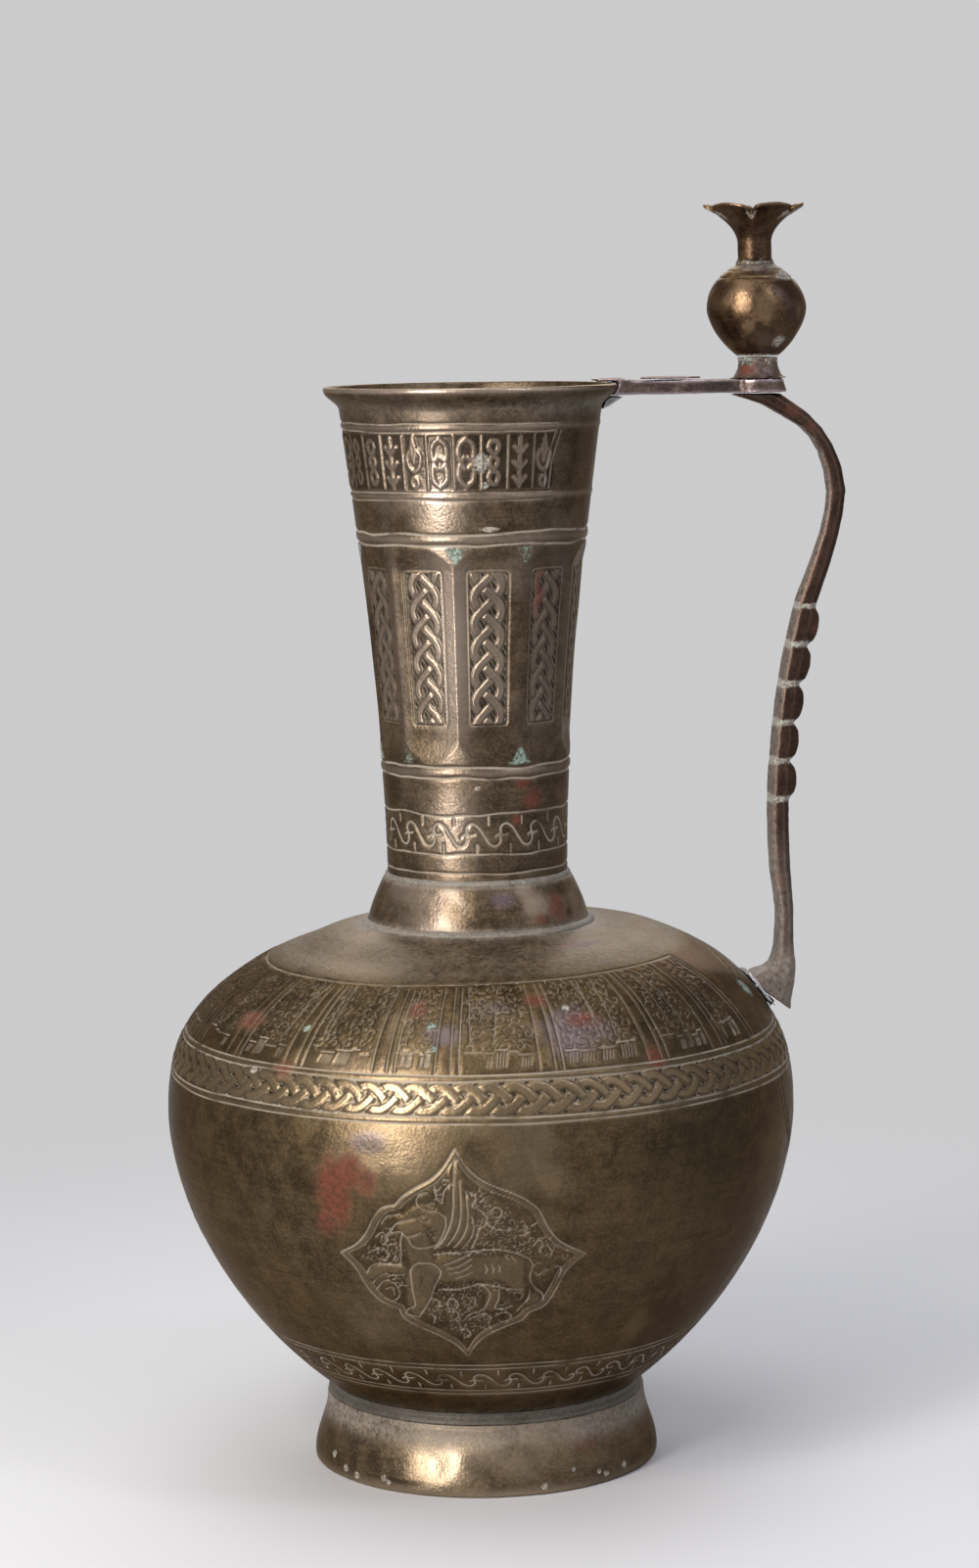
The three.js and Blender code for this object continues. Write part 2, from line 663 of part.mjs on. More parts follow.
const PIECES = [
  ["body_shell", bodyShell, bronze("#8a7446", 0.42)],
  ["base_disc", baseDisc, bronze("#6d5a38", 0.6)],
  ["foot_ring", footRing, bronze("#8c7344", 0.4)],
  ["foot_solder", footSolder, bronze("#8d8774", 0.75, 0.5)],
  ["neck_tube", neckTube, bronze("#8f784a", 0.38)],
  ["neck_collar", neckCollar, bronze("#80694a", 0.45)],
  ["collar_top_solder", collarTopSolder, bronze("#8b8672", 0.75, 0.5)],
  ["collar_foot_solder", collarFootSolder, bronze("#99958a", 0.8, 0.5)],
  ["handle_arm", handleArm, bronze("#94736a", 0.5)],
  ["arm_repair_patch", armPatch, bronze("#8c6d54", 0.55)],
  ["arm_lip_solder", lipSolder, bronze("#8f8a7c", 0.75, 0.5)],
  ["handle_bar", handleBar, bronze("#6f5238", 0.45)],
  ["handle_pad_solder", padSolder, bronze("#8b8776", 0.8, 0.5)],
  ["finial_seat", finialSeat, bronze("#8f7a6c", 0.6)],
  ["finial_bulb", finialBulb, bronze("#6e5138", 0.35)],
  ["finial_cup", finialCup, bronze("#5f4634", 0.42)],
];

const assembly = new THREE.Group();
for (const [name, geometry, material] of PIECES) {
  const mesh = new THREE.Mesh(geometry, material);
  mesh.name = name;
  assembly.add(mesh);
}
handleBar.computeBoundingBox();
assembly.position.x = (BODY_RADIUS - handleBar.boundingBox.max.x) / 2;

const ewer = new THREE.Group();
ewer.name = "bronze_ewer";
ewer.add(assembly);

export default ewer;
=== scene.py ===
# Medieval bronze ewer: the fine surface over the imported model. Millimetres in the arrays, metres in Blender.
import math
from functools import cached_property

import bpy
import numpy as np
from mathutils import Matrix, Vector


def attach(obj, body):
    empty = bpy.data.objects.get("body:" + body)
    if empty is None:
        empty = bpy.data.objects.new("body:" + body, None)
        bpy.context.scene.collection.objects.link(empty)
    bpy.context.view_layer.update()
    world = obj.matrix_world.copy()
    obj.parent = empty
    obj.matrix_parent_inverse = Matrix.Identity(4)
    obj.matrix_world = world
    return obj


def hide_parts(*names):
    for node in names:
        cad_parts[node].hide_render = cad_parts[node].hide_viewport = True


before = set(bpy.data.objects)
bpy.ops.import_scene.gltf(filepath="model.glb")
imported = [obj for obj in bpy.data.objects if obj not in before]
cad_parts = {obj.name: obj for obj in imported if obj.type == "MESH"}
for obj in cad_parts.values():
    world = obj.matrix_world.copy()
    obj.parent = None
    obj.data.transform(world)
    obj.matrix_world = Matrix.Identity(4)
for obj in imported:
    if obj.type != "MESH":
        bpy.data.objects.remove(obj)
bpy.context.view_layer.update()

TAU = 2 * math.pi
COARSE = 1.0  # grid spacing factor
LATTICE = np.random.default_rng(11).random((32, 32, 32)) * 2 - 1

# Sizes that the ornament and the fine pieces hang on, mm
AXIS_X = -9.2845  # the ewer's own axis in the frame
BODY_RADIUS, WIDEST_Z = 92, 104
BELLY_DEPTH, BELLY_POWER, BELLY_FOOT_Z = 98.7, 1.73, 20.6
SHOULDER_RISE, SHOULDER_POWER, MOUTH_RADIUS = 57.4, 2.45, 26.6
BODY_WALL, NECK_WALL, FOOT_WALL = 1.8, 1.6, 2.8
OPENING_Z, RIM_Z = 160.26, 315.06
NECK_SIDES = 10
SEAT_BASE, BULB_BASE, BULB_MIDDLE, BULB_TOP = 315.76, 321.96, 335.56, 348.26
CUP_BASE, CUP_TOP, CUP_FLOOR = 348.56, 366.06, 356.06
FINIAL_X = 84.8
FINIAL_LEAN = 0.022  # how far the finial leans towards the neck, per mm of height
FINE_GRAIN, ENGRAVING = 0.012, 0.34  # depths that every turned piece has


def noise(p, size, octaves=3, shift=0.0):
    """Smooth noise in space, about -1 to 1."""
    q = np.asarray(p) / size + shift
    total, weight, amount = 0.0, 0.0, 1.0
    for _ in range(octaves):
        i = np.floor(q).astype(np.int64)
        f = q - i
        f = f * f * (3 - 2 * f)
        i %= 32
        j = (i + 1) % 32
        x0, y0, z0 = i[..., 0], i[..., 1], i[..., 2]
        x1, y1, z1 = j[..., 0], j[..., 1], j[..., 2]
        fx, fy, fz = f[..., 0], f[..., 1], f[..., 2]
        a, b, c, d = (LATTICE[x0, y, z] * (1 - fx) + LATTICE[x1, y, z] * fx
                      for y, z in ((y0, z0), (y1, z0), (y0, z1), (y1, z1)))
        total = total + amount * ((a * (1 - fy) + b * fy) * (1 - fz) + (c * (1 - fy) + d * fy) * fz)
        weight += amount
        amount *= 0.5
        q = q * 2.03 + 7.7
    return total / weight * 1.6


def smooth(x):
    x = np.clip(x, 0, 1)
    return x * x * (3 - 2 * x)


def bell(x):
    return np.exp(-x ** 2)


def raise_to(grid, value, block=...):
    grid[block] = np.maximum(grid[block], value)


# Radii at a height
def body_radius(z):
    upper = z > WIDEST_Z
    reach = np.where(upper, SHOULDER_RISE, BELLY_DEPTH)
    power = np.where(upper, SHOULDER_POWER, BELLY_POWER)
    return BODY_RADIUS * (1 - (np.abs(z - WIDEST_Z) / reach) ** power) ** (1 / power)


def body_curve(out, rows):
    """The body's section from foot to neck, moved outwards by a distance."""
    radius, depth, height = BODY_RADIUS + out, BELLY_DEPTH + out, SHOULDER_RISE + out
    low = math.asin(((WIDEST_Z - BELLY_FOOT_Z) / depth) ** (BELLY_POWER / 2))
    high = math.acos((MOUTH_RADIUS / radius) ** (SHOULDER_POWER / 2))
    return np.concatenate([
        np.c_[radius * np.cos(t) ** (2 / power), WIDEST_Z + reach * np.sin(t) ** (2 / power)]
        for t, power, reach in ((np.linspace(low, 0, rows // 2), BELLY_POWER, -depth),
                                (np.linspace(0, high, rows // 2)[1:], SHOULDER_POWER, height))])


def lean(r, z, a):
    """The shoulder stands higher under the handle and lower across from it."""
    share = smooth((r - 40.3) / 14) * smooth((BODY_RADIUS - r) / 22)
    return r, np.where(z > WIDEST_Z, z + 1.6 * share * np.cos(a), z)


def foot_radius(z):
    return 47 + 1.9 * (1 + np.cos(math.pi * np.clip((z - 2) / 17, 0, 1)))


def neck_radius(z):
    share = np.clip((z - OPENING_Z - 14.7) / 140.1, 0, None)
    return 26.3 + 12.6 * share ** 1.6 + 3.6 * smooth((z - RIM_Z + 6.5) / 5)


def facet_share(z, angle):
    """How much of its radius the neck keeps where its sides are flat."""
    fade = smooth((z - 207) / 8) * smooth((271 - z) / 8)
    turn = TAU / NECK_SIDES
    off = np.mod(angle, turn) - turn / 2
    flat = (1 - (1 - math.cos(turn / 2)) * fade) / np.cos(off)
    soft = 0.0014
    return 0.5 * (flat + 1 - np.sqrt((flat - 1) ** 2 + soft ** 2)) + soft / 2 * (1 - fade)


def collar_radius(z):
    return 32.3 - 4.9 * np.clip((z - 159.75) / 13.2, 0, 1) ** 1.35


def bulb_radius(z):
    upper = z > BULB_MIDDLE
    reach = np.where(upper, 12.7 * 1.09, 13.6 * 1.19)
    power = np.where(upper, 1.92, 1.6)
    return np.maximum(14.5 * (1 - (np.abs(z - BULB_MIDDLE) / reach) ** power) ** (1 / power), 5.9)


def cup_radius(z):
    return 4.9 + 9.7 * np.clip((z - CUP_BASE - 5.8) / 10.7, 0, 1) ** 2


def lengths(points):
    """How far along a row of points each one lies."""
    return np.concatenate([[0], np.cumsum(np.hypot(*np.diff(points, axis=0).T))])


def even(points, step):
    """A row of (radius, height) points spaced evenly along its length."""
    points = np.asarray(points, float)
    s = lengths(points)
    t = np.linspace(0, s[-1], max(round(s[-1] / (step * COARSE)), 2) + 1)
    return np.c_[np.interp(t, s, points[:, 0]), np.interp(t, s, points[:, 1])]


def rows_of(radius, z0, z1, count=400):
    z = np.linspace(z0, z1, count)
    return np.c_[radius(z), z]


def curve(points, closed=False, step=0.8):
    """A smooth line through points, about step apart."""
    p = np.asarray(points, float)
    ends = (p[-1:], p[:2]) if closed else (2 * p[:1] - p[1:2], 2 * p[-1:] - p[-2:-1])
    p = np.concatenate([ends[0], p, ends[1]])
    out = []
    for a, b, c, d in zip(p[:-3], p[1:-2], p[2:-1], p[3:]):
        n = max(int(np.hypot(*(c - b)) / step), 1)
        t = np.arange(n)[:, None] / n
        out.append(0.5 * (2 * b + (c - a) * t + (2 * a - 5 * b + 4 * c - d) * t ** 2
                          + (3 * b - a - 3 * c + d) * t ** 3))
    return np.concatenate([*out, p[-2:-1]])


class Turned:
    """A closed profile turned round an axis, with room for engraving on its outer rows."""

    def __init__(self, outer, inner, columns, centre=AXIS_X, shape=None):
        self.outer = len(outer)
        self.r, self.z = np.concatenate([outer, inner]).T
        self.s = lengths(outer)
        self.columns = round(columns / COARSE / 60) * 60
        self.turn = TAU / self.columns
        self.angle = np.arange(self.columns) * self.turn
        self.angle = np.where(self.angle > math.pi, self.angle - TAU, self.angle)
        r, z = (values[:, None] * np.ones(self.columns) for values in (self.r, self.z))
        if shape:
            r, z = shape(r, z, np.mod(self.angle, TAU)[None, :])
        self.p = np.stack([r * np.cos(self.angle), r * np.sin(self.angle), z], -1)
        self.centre = centre
        # The outer rows: their points, and their arc lengths and heights as columns
        self.skin, self.up, self.height = self.p[:self.outer], self.s[:, None], self.z[:self.outer, None]
        self.cut, self.lift, self.fill = np.zeros((3, self.outer, self.columns))
        self.marks = {}

    def at(self, z):
        """Arc length of a height on the outer rows, which rise all the way."""
        return np.interp(z, self.height[:, 0], self.s)

    def radius(self, s):
        return np.interp(s, self.s, self.r[:self.outer])

    def mark(self, name, value=0.0, block=...):
        """Raises a mark to a value where it is lower."""
        if name not in self.marks:
            self.marks[name] = np.zeros((self.outer, self.columns))
        raise_to(self.marks[name], value, block)

    def window(self, a0, a1, s0, s1):
        """A patch as a block of the grids, with each point's angle and arc length."""
        i0, i1 = np.searchsorted(self.s, (s0, s1))
        j = np.arange(math.floor(a0 / self.turn), math.ceil(a1 / self.turn) + 1)
        return np.ix_(np.arange(i0, i1), j % self.columns), (j * self.turn)[None, :], self.up[i0:i1]

    def stroke(self, points, width=0.36, depth=1.0, fill=1.0, into=None):
        """Engraves a line through (angle, arc length) points, or draws it into a grid of its own."""
        reach = 2.4 * width
        for (a0, s0), (a1, s1) in zip(points[:-1], points[1:]):
            middle = self.radius((s0 + s1) / 2)
            (low_a, high_a), (low_s, high_s) = sorted((a0, a1)), sorted((s0, s1))
            spread = reach / middle
            block, a, s = self.window(low_a - spread, high_a + spread, low_s - reach, high_s + reach)
            if not len(s):
                continue
            x, y = (a - a0) * middle, s - s0
            ex, ey = (a1 - a0) * middle, s1 - s0
            t = np.clip((x * ex + y * ey) / (ex * ex + ey * ey + 1e-9), 0, 1)
            value = np.exp(-((x - t * ex) ** 2 + (y - t * ey) ** 2) / width ** 2)
            if into is None:
                raise_to(self.cut, depth * value, block)
                raise_to(self.fill, fill * value, block)
            else:
                raise_to(into, value, block)

    def rings(self, places, width, depth, wander, fill, a0=-math.pi, a1=math.pi):
        """Engraved lines round the ewer at (height, seed), as unsteady as a hand's."""
        a = np.arange(a0, a1 + 1e-6, math.radians(1.5))
        for z, seed in places:
            p = np.stack([np.cos(a) * 60, np.sin(a) * 60, a * 0 + z * 3], 1)
            self.stroke(np.c_[a, self.at(z) + wander * noise(p, 22, 2, seed)], width, depth, fill)

    def swell(self, z, size, height, wear):
        """A low worn roll round the ewer."""
        roll = bell((self.up - self.at(z)) / size)
        self.lift += height * roll
        self.mark("wear", wear * roll)

    def blobs(self, name, *spots, amount=1.0):
        """Soft spots in a mark, each by angle, height and size, and at need its height's size and amount."""
        for degrees, z, size, *more in spots:
            tall, share = (*more, *(size, amount)[len(more):])
            s = self.at(z)
            off = np.mod(self.angle - math.radians(degrees) + math.pi, TAU) - math.pi
            x, y = off[None, :] * self.radius(s) / size, (self.up - s) / tall
            self.mark(name, share * np.exp(-(x * x + y * y)))

    def patina(self, wear, dark, shade):
        """Clouds of wear and of dark patina, each by strength, size, threshold and span, and painted shade on the
        flanks.
        """
        for name, shift, (strength, size, low, span) in (("wear", 5.0, wear), ("dark", 8.0, dark)):
            self.mark(name, strength * smooth((noise(self.skin, size, 3, shift) - low) / span))
        self.mark("dark", shaded(self, shade))

    def finish(self, name, node, metal, waves, tilt=0.0):
        """Moves the points along their normals by dents and cuts, and makes the piece."""
        p = self.p
        du, dv = (np.roll(p, -1, axis) - np.roll(p, 1, axis) for axis in (1, 0))
        normal = np.cross(du, dv)
        normal /= np.linalg.norm(normal, axis=2, keepdims=True) + 1e-12
        h = waves[0] * (noise(p, waves[1], 3, 3.1) - 0.6) + FINE_GRAIN * noise(p, 1.6, 2, 9.0)
        h[:self.outer] += self.lift - ENGRAVING * np.clip(self.cut, 0, 1)
        h[self.outer:] *= 0.3
        p = p + normal * h[..., None]
        p[..., 0] += self.centre - tilt * (p[..., 2] - SEAT_BASE)
        p[..., 2] = np.maximum(p[..., 2], 0)
        rows, cols = p.shape[:2]
        marks = {}
        for key, value in {"line": self.fill, **self.marks}.items():
            marks[key] = np.zeros((rows, cols))
            marks[key][:self.outer] = value
        i, j = np.indices((rows, cols))
        k, m = (i + 1) % rows, (j + 1) % cols
        faces = np.stack([i * cols + j, i * cols + m, k * cols + m, k * cols + j], -1).reshape(-1, 4)
        # A flat map for baking, in which the inside takes little room
        q = np.c_[self.r, self.z]
        steps = np.diff(lengths(np.concatenate([q, q[:1]])))
        steps[self.outer:] *= 0.15
        v = np.concatenate([[0], np.cumsum(steps)]) / steps.sum()
        u = np.stack([j, j + 1, j + 1, j], -1) / cols
        uv = np.stack([u, np.stack([v[i], v[i], v[i + 1], v[i + 1]], -1)], -1)
        return piece(name, p.reshape(-1, 3), faces, marks, metal, node, uv)


def piece(name, points, faces, marks, metal, node, uv=None):
    """Makes a mesh object of quads, with its marks as attributes."""
    mesh = bpy.data.meshes.new(name)
    count, sides = faces.shape
    mesh.vertices.add(len(points))
    mesh.vertices.foreach_set("co", (points * 0.001).astype(np.float32).ravel())
    mesh.loops.add(count * sides)
    mesh.loops.foreach_set("vertex_index", faces.astype(np.int32).ravel())
    mesh.polygons.add(count)
    mesh.polygons.foreach_set("loop_start", np.arange(0, count * sides, sides, dtype=np.int32))
    mesh.polygons.foreach_set("use_smooth", np.ones(count, dtype=bool))
    mesh.update(calc_edges=True)
    if uv is not None:
        mesh.uv_layers.new(name="OFBake").data.foreach_set("uv", uv.astype(np.float32).ravel())
    for key, value in marks.items():
        layer = mesh.attributes.new(key, "FLOAT", "POINT")
        layer.data.foreach_set("value", np.clip(value, 0, 1).astype(np.float32).ravel())
    mesh.materials.append(metal)
    made = bpy.data.objects.new(name, mesh)
    bpy.context.scene.collection.objects.link(made)
    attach(made, "root")
    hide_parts(node)


# Materials
# A stain: its edge (noise in mm, low, high, amount), strength, grain (noise in mm, detail, low, high) and two colours
STAINS = {
    "red": ((2.2, 0.2, 0.76, 0.62), 0.85, (1.6, 5, 0.32, 0.68), (0.064, 0.016, 0.009), (0.128, 0.030, 0.016)),
    "green": ((1.5, 0.36, 0.6, 0.8), 0.8, (1.1, 4, 0.4, 0.6), (0.07, 0.105, 0.085), (0.25, 0.34, 0.29)),
    "crust": ((1.0, 0.34, 0.62, 0.9), 0.75, (0.8, 3, 0.42, 0.6), (0.17, 0.155, 0.13), (0.42, 0.40, 0.35)),
}
LINE_FILL, DUST, VIOLET = (0.36, 0.32, 0.26), (0.27, 0.24, 0.205), (0.16, 0.13, 0.16)
WORN_AND_HIGHLIT = (2.2, 2.4, 3.0)  # how much lighter each channel is on worn metal and at painted highlights
PALE = (0.60, 0.60, 0.61)  # floor and backdrop


class Nodes:
    """Short names for the nodes that a material or the world uses."""

    def __init__(self, owner):
        owner.use_nodes = True
        self.tree = owner.node_tree
        self.tree.nodes.clear()

    @cached_property
    def place(self):
        return self.new("ShaderNodeTexCoord").outputs["Object"]

    def new(self, kind, inputs=(), **settings):
        """A node, with values or links put into its inputs by name or number."""
        node = self.tree.nodes.new(kind)
        for key, value in settings.items():
            setattr(node, key, value)
        for key, value in dict(inputs).items():
            socket = node.inputs[key]
            if isinstance(value, bpy.types.NodeSocket):
                self.tree.links.new(value, socket)
            else:
                socket.default_value = (*value, 1) if socket.type == "RGBA" else value
        return node

    def math(self, operation, *values):
        return self.new("ShaderNodeMath", enumerate(values), operation=operation).outputs[0]

    def noise(self, size, detail=3.0, rough=0.55, warp=0.0, place=None):
        """Noise of a size in mm."""
        return self.new("ShaderNodeTexNoise", {"Vector": place or self.place, "Scale": 1000.0 / size, "Detail": detail,
                                               "Roughness": rough, "Distortion": warp}).outputs["Fac"]

    def step(self, value, low, high):
        return self.new("ShaderNodeMapRange", {"Value": value, "From Min": low, "From Max": high},
                        interpolation_type="SMOOTHSTEP").outputs[0]

    def mix(self, share, a, b):
        return self.new("ShaderNodeMix", {0: share, 6: a, 7: b}, data_type="RGBA").outputs[2]

    def blend(self, share, a, b):
        return self.new("ShaderNodeMix", {0: share, 2: a, 3: b}, data_type="FLOAT").outputs[0]

    def mark(self, name):
        return self.new("ShaderNodeAttribute", attribute_name=name).outputs["Fac"]

    def ragged(self, name, size, low, high, amount):
        """A mark whose edge is broken up by noise."""
        field = self.math("MULTIPLY_ADD", self.noise(size, 5.0, 0.65), amount, -amount / 2)
        return self.step(self.math("ADD", self.mark(name), field), low, high)

    def lay(self, mask, strength, colour):
        """Lays a colour over what is there."""
        self.colour = self.mix(self.math("MULTIPLY", mask, strength), self.colour, colour)

    def stain(self, name):
        edge, strength, (size, detail, low, high), deep, pale = STAINS[name]
        mask = self.ragged(name, *edge)
        self.lay(mask, strength, self.mix(self.step(self.noise(size, detail), low, high), deep, pale))
        return mask


def tint(colour, share):
    return tuple(c * share for c in colour)


def bronze(name, dark, mid, light, rough=0.36, metal=0.9, turned=True):
    """Patina from dark to light under wear and painted highlights, painted shade, a painted violet reflection, stains,
    dust and crust, which the pieces' marks place.
    """
    made = bpy.data.materials.new(name)
    n = Nodes(made)
    mottle = n.step(n.noise(6.0, 5, 0.62, 0.4), 0.34, 0.68)
    speck = n.noise(0.8, 2, 0.5)
    n.colour = n.mix(n.step(n.noise(36, 4, 0.6, 0.8), 0.36, 0.66), dark, mid)
    n.lay(mottle, 0.5, light)
    n.lay(n.step(speck, 0.46, 0.66), 0.18, tint(light, 1.3))
    n.lay(n.step(speck, 0.54, 0.34), 0.3, tint(dark, 0.5))
    if turned:
        # Faint lines left by turning
        spread = n.new("ShaderNodeVectorMath", {0: n.place, 1: (12, 12, 900)}, operation="MULTIPLY")
        n.lay(n.step(n.noise(1000, 4, 0.6, place=spread.outputs[0]), 0.46, 0.7), 0.3, tint(dark, 0.5))
    # Worn metal, and painted highlights where the key light falls
    worn_and_highlit = n.mark("wear")
    n.lay(worn_and_highlit, 0.8, tuple(c * share for c, share in zip(light, WORN_AND_HIGHLIT)))
    # Violet: a painted reflection of a bluish light in places, elsewhere a violet tint
    sheen_and_violet_tint = n.math("ADD", n.mark("sheen_and_violet_tint"), n.math("SUBTRACT", n.noise(9, 4), 0.5))
    n.lay(n.step(sheen_and_violet_tint, 0.3, 0.9), 0.45, VIOLET)
    # Dark patina, and painted shade on the flanks
    n.lay(n.ragged("dark", 5.0, 0.1, 0.95, 0.3), 0.75, tint(dark, 0.42))
    red, green = n.stain("red"), n.stain("green")
    # Painted shade on sunk ground, in grooves and on the handle's outer side; also a darker solder ring at the foot
    n.lay(n.mark("pit"), 0.8, tint(dark, 0.35))
    line = n.math("MULTIPLY", n.step(n.mark("line"), 0.2, 0.75), n.step(n.noise(8, 3), 0.2, 0.55))
    n.lay(line, 0.85, LINE_FILL)
    film = n.math("MULTIPLY", n.mark("dust"), n.step(n.noise(1.5, 5, 0.7), 0.2, 0.66))
    n.lay(film, 0.85, DUST)
    crust = n.stain("crust")
    stone = n.math("MAXIMUM", n.math("MAXIMUM", red, green), n.math("MAXIMUM", crust, film))
    shine = n.blend(worn_and_highlit, n.blend(mottle, rough - 0.05, rough + 0.09), 0.27)
    height = n.math("ADD", n.math("MULTIPLY", speck, 0.8), n.noise(3.2, 4, 0.6))
    height = n.math("ADD", height, n.math("MULTIPLY", stone, 1.1))
    bump = n.new("ShaderNodeBump", {"Strength": 0.5, "Distance": 0.00016, "Height": height})
    shader = n.new("ShaderNodeBsdfPrincipled", {
        "Base Color": n.colour,
        "Roughness": n.blend(n.math("MAXIMUM", stone, line), shine, 0.8),
        "Metallic": n.blend(n.math("MAXIMUM", stone, n.math("MULTIPLY", line, 0.8)), metal, 0.0),
        "Specular Tint": (0.5, 0.42, 0.34),
        "Coat Weight": 0.1,
        "Coat Roughness": 0.3,
        "Normal": bump.outputs["Normal"],
    })
    n.new("ShaderNodeOutputMaterial", {"Surface": shader.outputs[0]})
    return made


BODY = bronze("body_bronze", (0.046, 0.031, 0.015), (0.072, 0.048, 0.023), (0.155, 0.106, 0.053))
NECK = bronze("neck_bronze", (0.048, 0.033, 0.019), (0.078, 0.054, 0.031), (0.200, 0.146, 0.094))
FOOT = bronze("foot_bronze", (0.058, 0.039, 0.022), (0.110, 0.076, 0.042), (0.205, 0.148, 0.085))
HANDLE = bronze("handle_bronze", (0.032, 0.018, 0.013), (0.058, 0.031, 0.021), (0.110, 0.066, 0.044), 0.42,
                turned=False)
ARM = bronze("arm_bronze", (0.055, 0.038, 0.032), (0.105, 0.074, 0.064), (0.20, 0.15, 0.13), 0.45, turned=False)
FINIAL = bronze("finial_bronze", (0.034, 0.018, 0.011), (0.062, 0.034, 0.018), (0.165, 0.100, 0.047), 0.36)
SOLDER = bronze("old_solder", (0.07, 0.062, 0.05), (0.14, 0.125, 0.10), (0.24, 0.22, 0.19), 0.62, 0.4, turned=False)


# Body
def make_body():
    t = Turned(even(body_curve(0, 3000), 0.48), body_curve(-BODY_WALL, 40)[::-1], 1440, shape=lean)
    engrave_body(t)
    t.finish("body", "body_shell", BODY, (0.13, 26.0))


def along(a0, a1, s0, s1):
    """Places points of a unit square between two angles and two arc lengths."""
    return lambda points: np.asarray(points, float) * (a1 - a0, s1 - s0) + (a0, s0)


def within(a0, a1, s0, s1, a, s):
    return ((a > a0) & (a < a1) & (s > s0) & (s < s1)).astype(float)


def plait(t, a0, a1, s0, s1, period, swing, width, upright, phase=0.0):
    """A plait of three flat ribbons over sunk and hatched ground, along the band or up it."""
    block, a, s = t.window(a0, a1, s0, s1)
    middle = (s0 + s1) / 2
    radius = t.radius(middle)
    x, y = (s - middle, (a - (a0 + a1) / 2) * radius) if upright else ((a - a0) * radius, s - middle)
    turn = TAU * (x / period + np.arange(3)[:, None, None] / 3) + phase
    slope = TAU * swing / period * np.cos(turn)
    gap = np.abs(y - swing * np.sin(turn)) / np.sqrt(1 + slope ** 2)
    level = -np.sin(2 * turn)
    on = gap < width
    top = np.where(on, level, -9).max(0)
    edge = flat = 0.0
    for k in range(3):
        over = (on & (level > level[k] + 0.05)).any(0)
        edge = np.maximum(edge, np.where(over, 0, bell((gap[k] - width) / 0.3)))
        flat = np.where(on[k] & (level[k] == top), smooth((width - gap[k]) / 0.5), flat)
    inside = within(a0, a1, s0, s1, a, s)
    ground = inside * ~on.any(0)
    hatch = smooth((np.sin(TAU * (0.5 * x + 0.87 * y) / 1.2) - 0.1) / 0.5)
    edge, flat = edge * inside, flat * inside
    raise_to(t.cut, np.maximum(0.95 * edge, 0.8 * ground), block)
    raise_to(t.fill, np.maximum(0.42 * edge, 0.5 * ground * hatch), block)
    t.lift[block] += 0.2 * flat
    # Painted shade in the grooves and on the sunk ground
    t.mark("pit", np.maximum(0.6 * edge, 0.9 * ground), block)
    t.mark("wear", 0.5 * flat, block)


def relief(t, a0, a1, s0, s1, lines, width):
    """Figures left standing on ground that is cut away."""
    shape = np.zeros_like(t.cut)
    for line in lines:
        t.stroke(line, width, into=shape)
    block, a, s = t.window(a0, a1, s0, s1)
    inside = within(a0, a1, s0, s1, a, s)
    p = shape[block]
    ground = inside * smooth((0.42 - p) / 0.2)
    stand = inside * smooth((p - 0.45) / 0.3)
    raise_to(t.cut, 0.75 * ground, block)
    raise_to(t.fill, 0.4 * inside * bell((p - 0.36) / 0.15), block)
    t.lift[block] += 0.14 * stand
    # Painted shade on the cut-away ground
    t.mark("pit", 0.75 * ground, block)
    t.mark("wear", 0.45 * stand, block)


def scroll_band(t, z0, z1, count, seed, width):
    """Running S scrolls between two lines, with a tick above and below each."""
    wave = curve([(0.30, 0.52), (0.12, 0.50), (0.06, 0.68), (0.22, 0.80), (0.42, 0.70), (0.60, 0.46), (0.78, 0.24),
                  (0.98, 0.20), (1.10, 0.36), (1.04, 0.52), (0.94, 0.46)], step=0.06)
    for k in range(count):
        a = TAU * k / count
        jog = noise(np.array([[k * 3.1, seed, 0]]), 1.0, 1)[0]
        place = along(a, a + TAU / count * (1.0 + 0.05 * jog), t.at(z0), t.at(z1))
        t.stroke(place(wave), width, 1.0, 0.7)
        for tick in ([(0.72, 0.98), (0.73, 0.76)], [(0.38, 0.03), (0.37, 0.25)]):
            t.stroke(place(tick), 0.85 * width, 1.0, 0.7)


def foliage(t, a0, a1, s0, s1, size, rng, width=0.3, depth=1.0, fill=0.5, free=None):
    """Small curled stems with leaves, as close as they fit between two angles and two arc lengths."""
    radius = t.radius((s0 + s1) / 2)
    wide, tall = (a1 - a0) * radius, s1 - s0
    rows, cols = max(1, round(tall / (2.3 * size))), max(1, round(wide / (2.3 * size)))
    k = np.linspace(0, 1, 9)
    for i in range(rows):
        for j in range(cols):
            centre = np.array([(j + 0.5 + 0.4 * (i % 2 - 0.5)) / cols * wide, (i + 0.5) / rows * tall])
            centre += rng.uniform(-0.25, 0.25, 2) * size
            way, hand, reach = rng.uniform(0, TAU), rng.choice((-1, 1)), size * rng.uniform(0.8, 1.1)
            if free and not free(centre[0] / radius + a0, centre[1] + s0):
                continue
            turn = way + hand * 5.0 * k
            lines = [centre + (reach * (1 - 0.72 * k) * (np.cos(turn), np.sin(turn))).T]
            for m in range(3):
                d = way + (m + 0.4) * TAU / 3
                root = centre + 1.22 * reach * np.array([math.cos(d), math.sin(d)])
                lines.append([root, root + 0.6 * reach * np.array([math.cos(d + hand), math.sin(d + hand)])])
            for line in lines:
                t.stroke(np.asarray(line) * (1 / radius, 1) + (a0, s0), width, depth, fill)


def shaded(t, amount):
    """Painted shade: the flanks darker, most on the handle's side."""
    right = smooth(np.cos(t.angle + math.radians(12)) / 0.84)
    left = 0.55 * smooth((np.cos(t.angle - math.radians(188)) - 0.72) / 0.25)
    return amount * np.maximum(right, left)[None, :] * (0.85 + 0.15 * noise(t.skin, 30, 2, 1.5))


